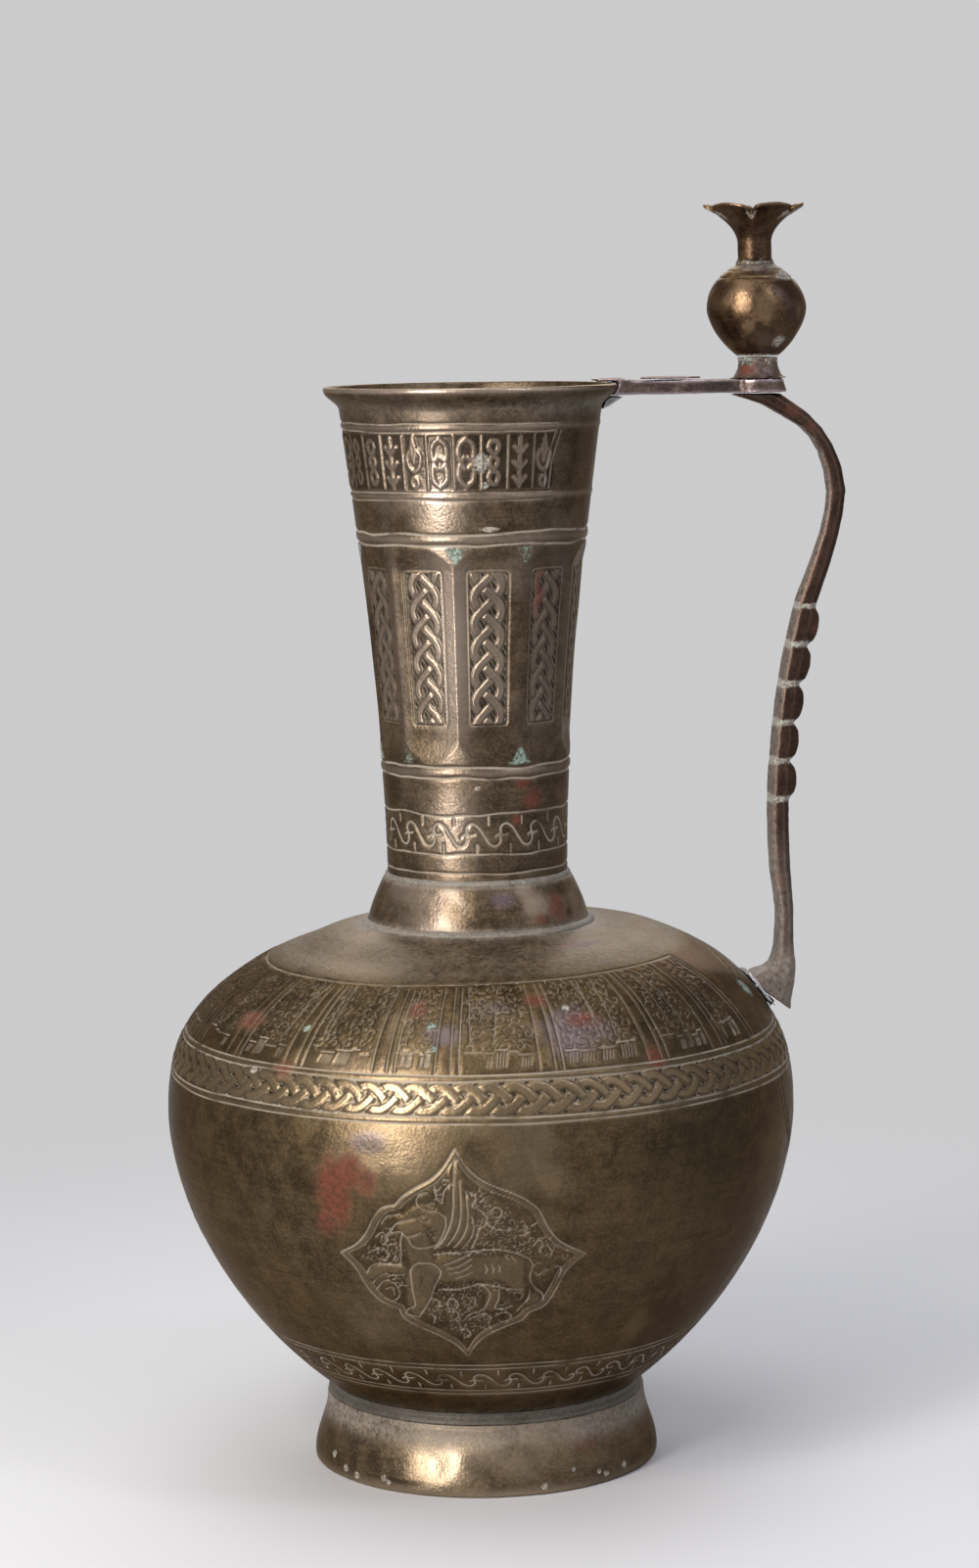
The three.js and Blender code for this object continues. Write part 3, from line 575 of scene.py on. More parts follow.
def engrave_body(t):
    at = t.at
    t.rings(((130.0, 0.4), (128.4, 0.9), (119.0, 1.7), (117.2, 2.1),
             (43.2, 3.0), (41.7, 3.3), (33.4, 4.2), (31.9, 4.9)),
            0.38, 0.95, 0.3, 0.7)
    half = math.radians(35)
    t.rings(((151.2, 5.5),), 0.36, 0.8, 0.3, 0.6, half - TAU, -half)
    plait(t, -math.pi, math.pi, at(119.3), at(128.1), TAU * t.radius(at(123.5)) / 27, 3.35, 1.5, False)
    for z in (129.2, 118.1):
        t.swell(z, 0.7, 0.12, 0.3)
    scroll_band(t, 34.0, 41.1, 39, 0.5, 0.42)
    shoulder_panels(t)
    handle_frame(t)
    for degrees in (-102, 163, 66):
        medallion(t, math.radians(degrees))
    # Old stains and patches, with painted highlights and a painted reflection among them
    t.blobs("red", (-124.5, 97, 8, 11), (-127, 88, 4, 6), (-118.5, 101, 5, 6), (-153, 140, 8, 5), (-137, 129, 5, 4),
            (-85, 147, 5, 4), (-76, 142, 7, 4), (-63.5, 131, 4, 5), (-60, 157, 14, 3), (-112, 146, 4, 5),
            (20, 120, 9, 7), (120, 80, 10, 8), (-124.5, 97, 6.2, 11.5, 1.0), (-121.5, 103, 5, 6, 1.0), amount=0.7)
    t.blobs("green", (-135.8, 140, 1.5), (-108, 142, 1.8), (-107, 136.5, 1.3), (100, 130, 3), (-20, 140, 4), amount=0.8)
    t.blobs("crust", (-144.3, 127.6, 1.5), (-78.9, 144.9, 1.6), (60, 60, 3), amount=0.8)
    # Painted highlights where the key light falls on the belly, the rope band and the shoulder, partly worn metal
    t.blobs("wear", (-113, 108, 15, 9, 0.6), (-103, 116, 22, 3, 0.5), (-112, 123.7, 26, 6, 0.95),
            (-124, 131.5, 16, 4, 0.5), (-98, 95, 14, 20, 0.2))
    t.blobs("dark", (-117, 111, 9, 4, 0.8), (-115, 103, 4, 7, 0.5), (-129.5, 100, 3, 12, 0.5))
    # Painted reflection of a bluish light on the shoulder, and violet tints
    t.blobs("sheen_and_violet_tint", (-78, 140, 13, 9, 1.0), (-106, 140, 10, 5, 0.7), (-118, 112, 8, 4, 0.9), (-95, 146, 12, 5, 0.6))
    t.mark("dust", 0.75 * bell((t.up - t.s.min()) / 6.0))
    t.mark("dust", smooth((t.height - 150.5) / 3) * (0.32 + 0.5 * bell((t.s.max() - t.up - 6.5) / 3.5)))
    t.mark("crust", 0.3 * smooth((t.height - 152) / 3))
    # Patina clouds, and painted shade on the flanks
    t.patina((0.35, 34, 0.25, 0.6), (0.3, 40, 0.2, 0.7), 0.75)
    t.lift -= 0.06
    t.cut *= 0.88 + 0.12 * noise(t.skin, 9, 2, 2.0)


# Angles of the uprights between the shoulder's panels; the last ones are spaced evenly
BARS = [-47, -63.5, -85.5, -105, -117, -136] + [-153 - 17 * k for k in range(10)]


def shoulder_panels(t):
    """Panels of foliage between uprights, over a row of small hatched steps."""
    rng = np.random.default_rng(5)
    s0, s1 = t.at(130.6), t.at(151.0)
    half = math.radians(1.45)
    bars = np.zeros_like(t.cut)
    for degrees in BARS:
        a, top = math.radians(degrees), s0 + (s1 - s0) * rng.uniform(0.93, 1.0)
        t.stroke([(a, s0), (a, top)], 0.95, into=bars)
        for side in (-1, 1):
            t.stroke([(a + side * half, s0), (a + 0.9 * side * half, top)], 0.34, 1.0, 0.5)
        t.stroke([(a + 2.1 * half, s0), (a + 2.0 * half, top)], 0.32, 1.0, 0.55)
    t.lift += 0.08 * bars
    edges = [-35] + BARS + [-325]
    for first, last in zip(edges[:-1], edges[1:]):
        a0, a1 = math.radians(last + 3.6), math.radians(first - 2.2)
        foliage(t, a0, a1, s0 + 6.0, s1 - 0.8, 1.75, rng)
        place = along(a0, a1, s0, s1)
        for _ in range(max(1, int((first - last) / 7))):
            x, slant = rng.uniform(0.1, 0.85), rng.uniform(-0.12, 0.2)
            stem = curve([(x, 0.27), (x + 0.3 * slant, 0.5), (x + 0.5 * slant, 0.75), (x + slant, 0.96)], step=0.1)
            t.stroke(place(stem), 0.36, 1.0, 0.45)
        x = 0.02
        while x < 0.9:
            wide = min(rng.uniform(0.1, 0.26), 0.97 - x)
            high = rng.uniform(0.15, 0.22)
            t.stroke(place([(x, high), (x + wide, high)]), 0.36, 1.0, 0.65)
            if rng.uniform() < 0.7:
                for y in np.arange(x + 0.02, x + wide - 0.03, 0.042):
                    t.stroke(place([(y, 0.05), (y + 0.03, high - 0.03)]), 0.3, 0.95, 0.55)
            x += wide + rng.uniform(0.02, 0.06)


# Lines by degrees and height: the end of the shoulder's panels, and half of the frame round the handle's foot
PANEL_END = np.array([(-36.7, 151.2), (-36, 145), (-35, 138), (-34.4, 130.4)])
HANDLE_FRAME = np.array([(-10, 149), (-19, 144), (-24.5, 137), (-27, 128), (-29, 119), (-28, 110), (-24, 101),
                         (-17, 91), (-8, 82), (0, 74)])
FRAME_MIDDLE = 0, 115


def handle_frame(t):
    """The line that ends the shoulder's panels, and a pointed frame round the handle's foot, with dashes inside."""
    for side in (1, -1):
        def engrave(points, width, depth, fill, smoothed=True):
            line = np.c_[np.radians(side * points[:, 0]), t.at(points[:, 1])]
            t.stroke(curve(line, step=0.6) if smoothed else line, width, depth, fill)

        def shrunk(points, share):
            return (points - FRAME_MIDDLE) * share + FRAME_MIDDLE

        for off in (0, 1.6):
            engrave(PANEL_END + (off, 0), 0.38, 0.95, 0.6)
        for share in (1, 0.93):
            engrave(shrunk(HANDLE_FRAME, share), 0.34, 0.9, 0.5)
        for start, end in zip(HANDLE_FRAME[:-1], HANDLE_FRAME[1:]):
            for share in (0.2, 0.5, 0.8):
                p = start + share * (end - start)
                engrave(np.array([shrunk(p, 0.975), shrunk(p, 0.945)]), 0.3, 0.8, 0.45, False)


def drawing(text):
    """Lines of a drawing: each a width in mm and then its points."""
    rows = [row.split() for row in text.strip().splitlines()]
    return [(np.array([pair.split(",") for pair in pairs], float), float(width)) for width, *pairs in rows]


# The medallion in 1500ths of its drawing's side: its outline from the top down the left and the right side,
# the beast with head, wing, back, legs and ribs and the ground's scrolls, and the beast's masses as centre lines
OUTLINE = drawing("""
0.42 712,72 655,160 590,225 500,275 425,325 380,375
0.42 380,375 310,390 255,450 205,540 140,610 45,662
0.42 45,662 130,745 190,850 265,930 370,975
0.42 370,975 400,1035 500,1090 600,1140 680,1195 737,1270
0.36 712,72 775,165 850,230 940,275 1030,310 1095,345
0.42 1095,345 1160,400 1210,500 1280,590 1420,668
0.42 1420,668 1310,755 1245,865 1180,955 1082,1000
0.42 1082,1000 1050,1040 950,1080 850,1130 785,1190 737,1270
""")
FIGURES = drawing("""
0.34 655,432 612,405 560,398 515,382 498,348 520,312 560,305
0.3 505,440 535,425 578,440 560,460 522,456 505,440
0.34 350,535 362,500 395,470 440,455 490,442
0.34 330,540 370,528 412,522 430,545 480,540 520,520
0.36 415,525 402,580 402,640 396,715
0.34 445,555 470,600 520,606 570,600 610,580 655,490 655,432
0.4 590,610 640,560 680,480 700,390 705,280 712,130
0.34 660,595 712,520 738,440 742,350 738,230
0.34 700,602 748,540 774,470 778,390 770,290
0.34 742,606 788,552 808,492 800,430
0.34 790,608 824,545 832,505
0.32 795,300 825,330 800,370 850,400 880,440 870,480 830,500
0.38 585,645 680,634 780,628 880,618 960,622 1040,645 1105,680 1120,720 1102,780 1120,840 1165,885 1172,925
0.38 600,850 700,850 770,832 842,814 905,828 985,850 1062,850
0.36 450,745 455,850 466,945 432,968 404,1000 440,1012 480,1022
0.36 580,830 545,920 500,990 480,1022
0.34 450,745 470,708 520,690 582,700 618,740 602,790 580,830
0.36 400,712 340,712 270,712 225,730 200,768
0.34 420,762 360,776 300,772 250,800 230,828
0.34 930,852 925,905 902,960 950,968 1000,950
0.34 842,816 880,870 862,930 830,975 780,990 745,1015
0.34 1100,862 1090,905 1062,940 1020,985
0.3 640,702 700,678 780,640
0.3 650,722 720,708 785,668
0.3 662,750 730,738 788,700
0.3 700,778 752,760 792,738
0.34 860,700 872,725 862,752
0.34 896,700 908,725 898,750
0.34 932,700 942,722 934,744
0.3 970,650 990,680
0.3 1005,655 1030,690
0.34 882,470 920,500 985,510 1045,500
0.34 900,405 930,380 962,402 950,436 925,440
0.32 1045,520 1075,508 1102,525 1080,545 1062,538
0.4 1120,490 1150,475
0.32 1130,600 1160,570 1180,600 1160,640 1200,660
0.32 1200,600 1230,640 1215,680
0.32 1120,720 1160,700 1190,730 1160,770 1130,760
0.32 1240,720 1280,740 1262,790
0.32 600,270 610,330 640,360 650,300 690,250
0.32 300,480 330,440 380,430 410,420
0.32 260,560 300,530 330,570 300,600
0.32 240,640 290,620 330,650 300,690 260,680
0.3 350,640 372,660 352,690
0.32 250,860 300,810 360,830 380,890 340,930 290,910
0.3 300,860 340,850 350,890
0.32 640,935 660,905 700,920 695,960 655,965 640,935
0.3 560,900 600,920 590,970 560,990
0.3 540,1000 570,1020 560,1060
0.32 640,990 690,980 700,1020 650,1040
0.3 760,900 800,905 790,950 750,960
0.32 780,1020 830,1000 880,1020 860,1060 880,1100
0.32 700,1100 740,1090 760,1130 720,1150
0.32 900,1010 950,990 990,1010 960,1050 920,1040
0.3 1010,870 1060,880 1040,920 1010,910
""")
BEAST = drawing("""
4.4 640,730 860,722 1070,735
3.6 480,500 500,600 520,720
3.0 440,480 540,420 630,470
2.0 470,760 462,860 462,950
2.0 560,780 520,880 480,980
2.2 1010,800 1080,860 1110,930
2.0 870,830 900,890 880,950
2.6 640,560 690,460 712,330 718,190
2.2 730,560 770,460 780,360
1.6 400,735 300,735 220,780
""")
DRAWING_MIDDLE = 732, 668


def medallion(t, a):
    """A pointed, lobed frame with a winged beast among scrolls."""
    z_low, z_high, half_width = 46.5, 110.5, 35

    def place(p):
        s = t.at(z_high - (p[:, 1] - 75) * (z_high - z_low) / 1195)
        return np.c_[a + (p[:, 0] - 735) / 690 * half_width / t.radius(s), s]

    def scaled(points, share):
        return (points - DRAWING_MIDDLE) * share + DRAWING_MIDDLE

    rng = np.random.default_rng(3)
    mass, roll = np.zeros_like(t.cut), np.zeros_like(t.cut)
    for points, width in BEAST:
        t.stroke(place(curve(points, step=16)), width, into=mass)
    for points, _ in OUTLINE:
        t.stroke(place(curve(scaled(points, 0.965), step=16)), 0.62, into=roll)
        t.stroke(place(curve(scaled(points, 0.932), step=16)), 0.3, 1.0, 0.55)
    for points, width in OUTLINE + FIGURES:
        t.stroke(place(curve(points, step=16)), width, 1.0, 0.62)
    # Ground inside the frame, sunk between the beast and the scrolls
    outline = place(scaled(np.concatenate([points for points, _ in OUTLINE[:4] + OUTLINE[7:3:-1]]), 0.93))
    low, high = outline.min(0), outline.max(0)
    limits = low[0], high[0], low[1], high[1]
    block, angle, s = t.window(*limits)
    inside = np.zeros(np.broadcast(angle, s).shape, bool)
    for (a0, s0), (a1, s1) in zip(outline, np.roll(outline, -1, 0)):
        crosses = (s0 > s) != (s1 > s)
        inside ^= crosses & (angle < (a1 - a0) * (s - s0) / (s1 - s0 + 1e-12) + a0)
    body = smooth((mass[block] - 0.25) / 0.35)
    ground = inside * (1 - body)
    t.lift[block] += 0.2 * inside * body - 0.1 * ground
    t.lift += 0.09 * roll
    # Painted shade on the sunk ground
    t.mark("pit", 0.28 * ground, block)
    t.mark("wear", 0.22 * inside * body, block)
    t.mark("wear", 0.3 * roll)

    def free(angle, arc):
        i = min(np.searchsorted(t.s, arc), t.outer - 1)
        x = abs((angle - a) * t.radius(arc)) / half_width
        y = abs(np.interp(arc, t.s, t.height[:, 0]) - 78.8) / 32
        return x + y < 0.83 and mass[i, round(angle / t.turn) % t.columns] < 0.25

    foliage(t, *limits, 1.25, rng, 0.27, 0.95, 0.55, free)


# Neck
def make_neck():
    lip = np.array([(42.5, 313.9), (42.45, 314.5), (42.1, 314.95), (41.6, 315.05), (41.0, 314.95), (40.7, 314.5)])
    outer = even(np.concatenate([rows_of(neck_radius, 156.0, 313.5, 3000), lip[:3]]), 0.38)
    z = np.concatenate([np.linspace(313.2, 306, 20), np.linspace(305, 156, 40)])
    inner = np.concatenate([lip[3:], np.c_[neck_radius(z) - NECK_WALL, z]])
    t = Turned(outer, inner, 720, shape=lambda r, z, a: (r * facet_share(z, a), z))
    engrave_neck(t)
    t.finish("neck", "neck_tube", NECK, (0.09, 16.0))


def engrave_neck(t):
    end = math.radians(57)
    t.rings(((304.9, 0.3), (302.7, 0.6), (285.5, 1.2), (283.4, 1.5)), 0.38, 0.95, 0.35, 0.6, end - TAU, -end)
    t.rings(((274.0, 2.2), (270.6, 2.8), (207.0, 3.1), (203.9, 3.9)), 0.46, 1.15, 0.55, 0.75)
    t.rings(((193.5, 4.4), (181.8, 4.9), (176.4, 5.5)), 0.36, 0.9, 0.45, 0.75)
    for z, size in ((272.3, 1.1), (205.4, 1.1), (303.8, 0.8), (284.4, 0.8)):
        t.swell(z, size, 0.22, 0.5)
    scroll_band(t, 182.2, 193.1, 17, 2.5, 0.46)
    border = curve([(0.04, 0), (0.96, 0), (1, 0.02), (1, 0.98), (0.96, 1), (0.04, 1), (0, 0.98), (0, 0.02)],
                   closed=True, step=0.05)
    half, s0, s1 = 6.2 / 31.5, t.at(219.0), t.at(263.4)
    for k in range(NECK_SIDES):
        a = TAU * (k + 0.5) / NECK_SIDES
        plait(t, a - half * 0.93, a + half * 0.93, s0 + 0.6, s1 - 0.6, 22.5, 3.9, 1.3, True, phase=k)
        t.stroke(along(a - half, a + half, s0, s1)(border), 0.36, 1.0, 0.5)
        # Green left in the corners between the facets' ends
        for z, way in ((269.6, -1), (208.3, 1)):
            share = 0.55 + 0.25 * math.sin(4 * k + z)
            t.blobs("green", *((36 * k + 1.5, z + way * 0.9 * row, 4.6 * (1 - row / 5.5), 0.9) for row in range(5)),
                    amount=share)
    neck_band(t, end)
    t.blobs("red", (-68, 202, 4, 2.5), (-61, 197.4, 5, 5), (-72.6, 191.4, 2.6, 3), (-60, 257, 3, 10),
            (30, 230, 6, 12), (110, 190, 6, 6), amount=0.7)
    t.blobs("crust", (-93.4, 294, 2.6, 3.4, 0.95), (-92, 287.6, 1.6, 1.2, 0.8), (-97.1, 201.1, 0.9),
            (-89.5, 275.2, 3.0, 0.9, 0.9))
    lip = bell((t.up - t.at(309.5)) / 3.0) * (0.6 + 0.4 * np.cos(t.angle + 0.6))
    t.mark("crust", 0.28 * lip)
    t.mark("dust", 0.4 * lip)
    t.mark("wear", 0.8 * smooth(t.up - t.at(313.2)))
    # Wear on the facets' corners, and painted highlights where the key light falls on the neck's left
    t.blobs("wear", *((degrees, 240, 2.6, 32, 0.34) for degrees in (-144, -108, -36, 0, 36, 72, 108, 144)),
            (-112, 242, 6.0, 30, 1.0), (-114, 288, 8, 16, 0.8), (-112, 190, 7, 12, 0.6))
    # Patina clouds, and painted shade on the flanks
    t.patina((0.22, 24, 0.2, 0.6), (0.4, 26, 0.2, 0.6), 0.75)


def neck_band(t, end):
    """Uprights, palmettes, rings and paired scrolls left standing between the band's lines. No part is lettering."""
    s0, s1 = t.at(286.4), t.at(301.8)
    count = 20
    step = (TAU - 2 * end) / count

    def both(*halves):
        """Each line and its mirror image."""
        lines = [curve(points, step=0.07) for points in halves]
        return lines + [line * (-1, 1) + (1, 0) for line in lines]

    def round_ring(y, size):
        k = np.linspace(0, TAU, 13)
        return np.c_[0.5 + 1.5 * size * np.cos(k), y + size * np.sin(k)]

    figures = [
        both([(0.5, 0.34), (0.3, 0.42), (0.22, 0.62), (0.34, 0.72)], [(0.5, 0.5), (0.42, 0.72), (0.5, 0.96)])
        + [round_ring(0.14, 0.09)],
        both([(0.5, 0.06), (0.24, 0.2), (0.26, 0.46), (0.42, 0.4)],
             [(0.5, 0.94), (0.24, 0.8), (0.26, 0.54), (0.42, 0.6)]),
        [round_ring(0.22, 0.12), round_ring(0.5, 0.1), round_ring(0.78, 0.12)],
        both([(0.5, 0.08), (0.26, 0.22)], [(0.5, 0.36), (0.26, 0.5)], [(0.5, 0.64), (0.26, 0.78)])
        + [[(0.5, 0.05), (0.5, 0.95)]],
    ]
    for k in range(count):
        a0 = -end - (k + 1) * step
        place = along(a0, a0 + step, s0, s1)
        bar = [(0.02, 0.0), (0.02, 1.0)]
        relief(t, a0, a0 + step, s0, s1, [place(line) for line in [bar, *figures[(3 * k + k // 4) % 4]]], 0.66)
    for side in (-1, 1):
        for off in (0, 0.05):
            a = side * (end - off)
            line = curve([(a, s1 + 1), (a + side * 0.07, (s0 + s1) / 2), (a + side * 0.09, s0)], step=1.0)
            t.stroke(line, 0.36, 0.95, 0.6)


# Foot, collar and the old solder round them
def make_foot():
    outer = even(np.concatenate([[(49.0, 0.0), (50.0, 0.05), (50.6, 0.5), (50.78, 1.2)],
                                 rows_of(foot_radius, 2.0, 19.4, 300), [(46.9, 20.1), (46.3, 20.35)]]), 0.45)
    z = np.linspace(17.2, 1.2, 16)
    inner = np.concatenate([[(40, 20.3), (33.4, 20.3), (33, 20.0), (33, 18.1), (33.4, 17.9), (40, 17.9)],
                            np.c_[foot_radius(z) - FOOT_WALL, z], [(48.4, 0.0)]])
    t = Turned(outer, inner, 720)
    down = t.s.max() - t.up
    top = bell((down - 1.5) / 1.6) + 0.72 * bell((down - 4.5) / 3.0)
    t.mark("dust", np.clip(1.35 * top, 0, 1) * (0.8 + 0.2 * noise(t.skin, 12, 2, 4.0)))
    t.mark("crust", 0.3 * bell((down - 2.0) / 1.5))
    t.blobs("crust", (-152, 3.5, 1.3), (-146, 2.5, 1.2), (-160, 6, 1.3), (-132, 2.8, 0.9), (-134, 3.6, 1.0),
            (-79, 2.4, 1.1), (-55, 2.8, 1.1), (-58, 4.0, 0.8), (-46, 3.6, 1.2), (-68, 6, 0.8), (30, 4, 2),
            (100, 3, 2), (160, 5, 2))
    t.mark("wear", 0.85 * bell(t.height / 2.4))
    # Painted highlights where the key light falls, partly worn metal
    t.blobs("wear", (-112, 10, 9, 7, 0.55), (-85, 9, 6, 6, 0.3))
    # A dark band low on the left, and painted shade on the right side
    t.blobs("dark", (-128, 3.6, 14, 1.1, 0.8), (-70, 9, 9, 6, 0.4))
    t.blobs("red", (-62, 12, 9, 3, 0.5))
    t.blobs("dust", (-37.4, 16.5, 6, 4, 0.7))
    # Patina clouds, and painted shade on the flanks
    t.patina((0.35, 18, 0.1, 0.6), (0.35, 20, 0.2, 0.6), 0.65)
    for degrees, z0, size, deep in ((-116, 9, 4.5, 0.7), (-107, 10, 4, -0.3), (-84, 5, 6, 0.3), (-60, 10, 7, 0.35),
                                    (40, 9, 7, 0.4), (150, 7, 6, 0.4)):
        t.blobs("dent", (degrees, z0, size))
        t.lift -= deep * t.marks.pop("dent")
    t.rings(((19.5, 1.4),), 0.32, 0.7, 0.2, 0.1)
    t.finish("foot", "foot_ring", FOOT, (0.16, 17.0))


def make_collar():
    outer = even(np.concatenate([rows_of(collar_radius, 159.6, 172.4, 300), [(27.2, 172.95)]]), 0.4)
    t = Turned(outer, [(26.5, 173.0), (26.5, 168), (26.5, 162), (28.5, 160.4), (31, 159.7)], 480)
    t.mark("dust", 0.7 * bell(t.up / 1.6) + 0.6 * bell((t.s.max() - t.up) / 1.2))
    # Painted reflection of a bluish light
    t.blobs("sheen_and_violet_tint", (-84, 169, 5, 3))
    t.blobs("red", (-50, 166, 5, 6, 0.7), (-62, 163, 4, 3, 0.6))
    t.blobs("dark", (-128, 166, 9, 5, 0.4))
    # Patina clouds, and painted shade on the flanks
    t.patina((0.4, 14, 0.1, 0.6), (0.5, 14, 0.25, 0.5), 0.5)
    t.finish("collar", "neck_collar", NECK, (0.1, 12.0))


def bead(name, node, profile, columns, rough, crust, pit=0.0, dust=0.5, shape=None):
    """A ring of old solder or corrosion, uneven all round."""
    t = Turned(even([*profile, profile[0]], 0.3)[:-1], np.zeros((0, 2)), columns, shape=shape)
    t.lift = rough * (noise(t.p, 4.5, 3, 1.3) - 0.25) + 0.5 * rough * noise(t.p, 1.4, 2, 2.3)
    t.mark("crust", crust * (0.5 + 0.8 * smooth(noise(t.p, 6, 3, 4.4))))
    t.mark("green", 0.4 * smooth(noise(t.p, 9, 3, 6.6) * 1.3))
    t.mark("pit", pit)
    t.mark("dust", dust)
    t.finish(name, node, SOLDER, (0.0, 10.0))


def make_beads():
    z = np.linspace(23.6, 20.3, 7)
    wall = np.c_[body_radius(np.maximum(z, BELLY_FOOT_Z)) - 0.1, z]
    bead("foot_bead", "foot_solder", [(46.5, 20.3), (46.3, 21.2), (45.4, 22.4), *wall], 720, 0.12, 0.1, 0.7, 0.15)
    bead("collar_top_bead", "collar_top_solder",
         [(27.25, 172.8), (27.1, 173.6), (26.6, 174.3), (26.15, 174.4), (26.15, 172.8)], 420, 0.1, 0.32)
    bead("collar_foot_bead", "collar_foot_solder",
         [(34.1, 159.15), (33.6, 159.85), (32.9, 160.35), (32.2, 160.7), (32.0, 159.4), (33.0, 159.0)],
         480, 0.12, 0.3, shape=lean)


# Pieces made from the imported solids, refined
def refined(node, size, passes):
    """The node's solid as an even fine mesh: points in mm, normals, quads and edges."""
    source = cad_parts[node]
    copy = source.copy()
    copy.data = source.data.copy()
    bpy.context.scene.collection.objects.link(copy)
    copy.modifiers.clear()
    remesh = copy.modifiers.new("remesh", "REMESH")
    remesh.mode = "VOXEL"
    remesh.voxel_size = size * 0.001 * min(COARSE, 1.6)
    soften = copy.modifiers.new("soften", "SMOOTH")
    soften.factor = 0.5
    soften.iterations = passes
    graph = bpy.context.evaluated_depsgraph_get()
    made = bpy.data.meshes.new_from_object(copy.evaluated_get(graph))
    made.transform(source.matrix_world)

    def read(items, key, sides, kind):
        found = np.empty(len(items) * sides, dtype=kind)
        items.foreach_get(key, found)
        return found.reshape(-1, sides)

    found = (read(made.vertices, "co", 3, float) * 1000, read(made.vertices, "normal", 3, float),
             read(made.polygons, "vertices", 4, np.int32), read(made.edges, "vertices", 2, np.int32))
    bpy.data.objects.remove(copy)
    bpy.data.meshes.remove(made)
    return found


def hollows(p, normal, edges):
    """How far each point lies in a hollow (above 0) or on an edge (below 0), in mm."""
    near, far = np.concatenate([edges, edges[:, ::-1]]).T
    count = np.bincount(near, minlength=len(p))
    q = p
    for _ in range(8):
        q = np.stack([np.bincount(near, q[far, k], len(p)) / count for k in range(3)], 1)
    return ((q - p) * normal).sum(1)


def cast(name, node, metal, size, passes, rough, crusty, detail=None):
    """A cast or soldered piece, uneven to a depth and a size, with marks from its hollows and edges."""
    p, normal, faces, edges = refined(node, size, passes)
    hollow = hollows(p, normal, edges)
    depth, wide = rough
    q = p + normal * (depth * (noise(p, wide, 3, 2.2) - 0.5) + 0.35 * depth * noise(p, 1.5, 2, 5.1))[:, None]
    q = np.clip(q, p.min(0), p.max(0))
    marks = {
        "crust": np.clip(crusty + smooth(hollow / 0.12 - 0.2) * 0.9, 0, 1),
        "wear": smooth(-hollow / 0.12 - 0.15) * 0.9,
        "green": 0.45 * smooth(noise(p, 9, 3, 7.7) * 1.5 - 0.3) * smooth(hollow / 0.1),
        "dark": 0.7 * smooth(noise(p, 12, 3, 3.7) * 1.2),
        "red": 0.55 * smooth(noise(p, 15, 3, 9.7) * 1.6 - 0.3),
    }
    if detail:
        detail(p, normal, marks, q)
    piece(name, q, faces, marks, metal, node)


KNOP_GROOVES = 249.0, 237.7, 226.2, 214.8, 203.5, 192.3  # heights


def handle_marks(p, normal, marks, _):
    """Crust in the grooves between the knops, dust on the inner side and the foot, and painted shade on the outer side.
    """
    x, z = normal[:, 0], p[:, 2]
    inner = smooth((-x - 0.45) / 0.3)
    groove = sum(bell((z - height) / 1.35) for height in KNOP_GROOVES)
    groove *= smooth((z - 188) / 3) * smooth((252 - z) / 3)
    foot = smooth((151 - z) / 9)
    marks["crust"] = np.clip(0.3 * marks["crust"] + 0.68 * groove + 0.22 * inner + 0.25 * foot, 0, 0.9)
    marks["dust"] = np.clip(0.62 * inner + 0.8 * foot + 0.35 * smooth((192 - z) / 30), 0, 0.9)
    marks["green"] = np.maximum(marks["green"], 0.45 * groove)
    marks["dark"] = np.maximum(marks["dark"], 0.45) * (1 - foot) * (1 - 0.6 * inner)
    marks["wear"] = marks["wear"] * (0.3 + 0.5 * smooth((200 - z) / 40)) * (1 - 0.4 * foot)
    # Painted shade on the outer side, away from the neck
    marks["pit"] = 0.35 * smooth((x - 0.3) / 0.5) * (1 - foot)


def strap_end(p, _, marks, q):
    """Rounds the strap's far end and reddens it there, and paints ragged highlights along its lower edge, partly wear.
    """
    reach, z = p[:, 0] - p[:, 0].max(), p[:, 2]
    q[:, 1] *= np.sqrt(1 - 0.6 * smooth((reach + 7) / 7) ** 3)
    q[:, 2] -= 0.5 * smooth((reach + 1.6) / 1.6) * np.maximum(q[:, 2] - z.min(), 0)
    near = bell((reach + 14) / 7) * smooth(z - z.max() + 1.5)
    marks["red"] = np.maximum(marks["red"], 0.5 * near)
    marks["dust"] = 0.3 * near
    # Painted highlights, partly wear, ragged along the lower edge
    marks["wear"] = np.maximum(marks["wear"], 0.5 * smooth(noise(p, 3, 3, 6.6)) * smooth((z.min() + 1.2 - z) / 0.6))


def make_handle():
    cast("handle", "handle_bar", HANDLE, 0.34, 6, (0.13, 8.0), 0.0, handle_marks)
    cast("arm", "handle_arm", ARM, 0.34, 8, (0.2, 5.0), 0.08, strap_end)
    cast("arm_patch", "arm_repair_patch", ARM, 0.22, 3, (0.1, 2.5), 0.05)
    cast("lip_solder", "arm_lip_solder", SOLDER, 0.3, 5, (0.2, 3.0), 0.08)
    cast("pad_solder", "handle_pad_solder", SOLDER, 0.3, 4, (0.2, 3.0), 0.0)


# Finial
def make_seat(centre):
    share = np.linspace(0, 1, 60)
    flare = np.where(share < 0.7, 5.8 + 2.2 * np.clip(1 - share / 0.7, 0, 1) ** 2, 5.8 + 0.6 * (share - 0.7))
    outer = even(np.c_[flare, SEAT_BASE - 0.3 + 6.3 * share], 0.3)
    t = Turned(outer, [(2.5, SEAT_BASE + 5.9), (2.5, SEAT_BASE)], 180, centre)
    t.mark("crust", (0.3 + 0.5 * smooth((t.up - 3.6) / 2)) * (0.7 + 0.3 * noise(t.skin, 4, 3, 1.0)))
    t.mark("green", 0.5 * smooth((t.up - 3.0) / 2) * smooth(noise(t.skin, 5, 3, 2.0) + 0.4))
    t.blobs("red", (-140, SEAT_BASE + 2.4, 4.5, 2.6, 0.8))
    t.marks["crust"] *= 1 - 0.9 * t.marks["red"]
    t.finish("seat", "finial_seat", ARM, (0.34, 4.0), FINIAL_LEAN)


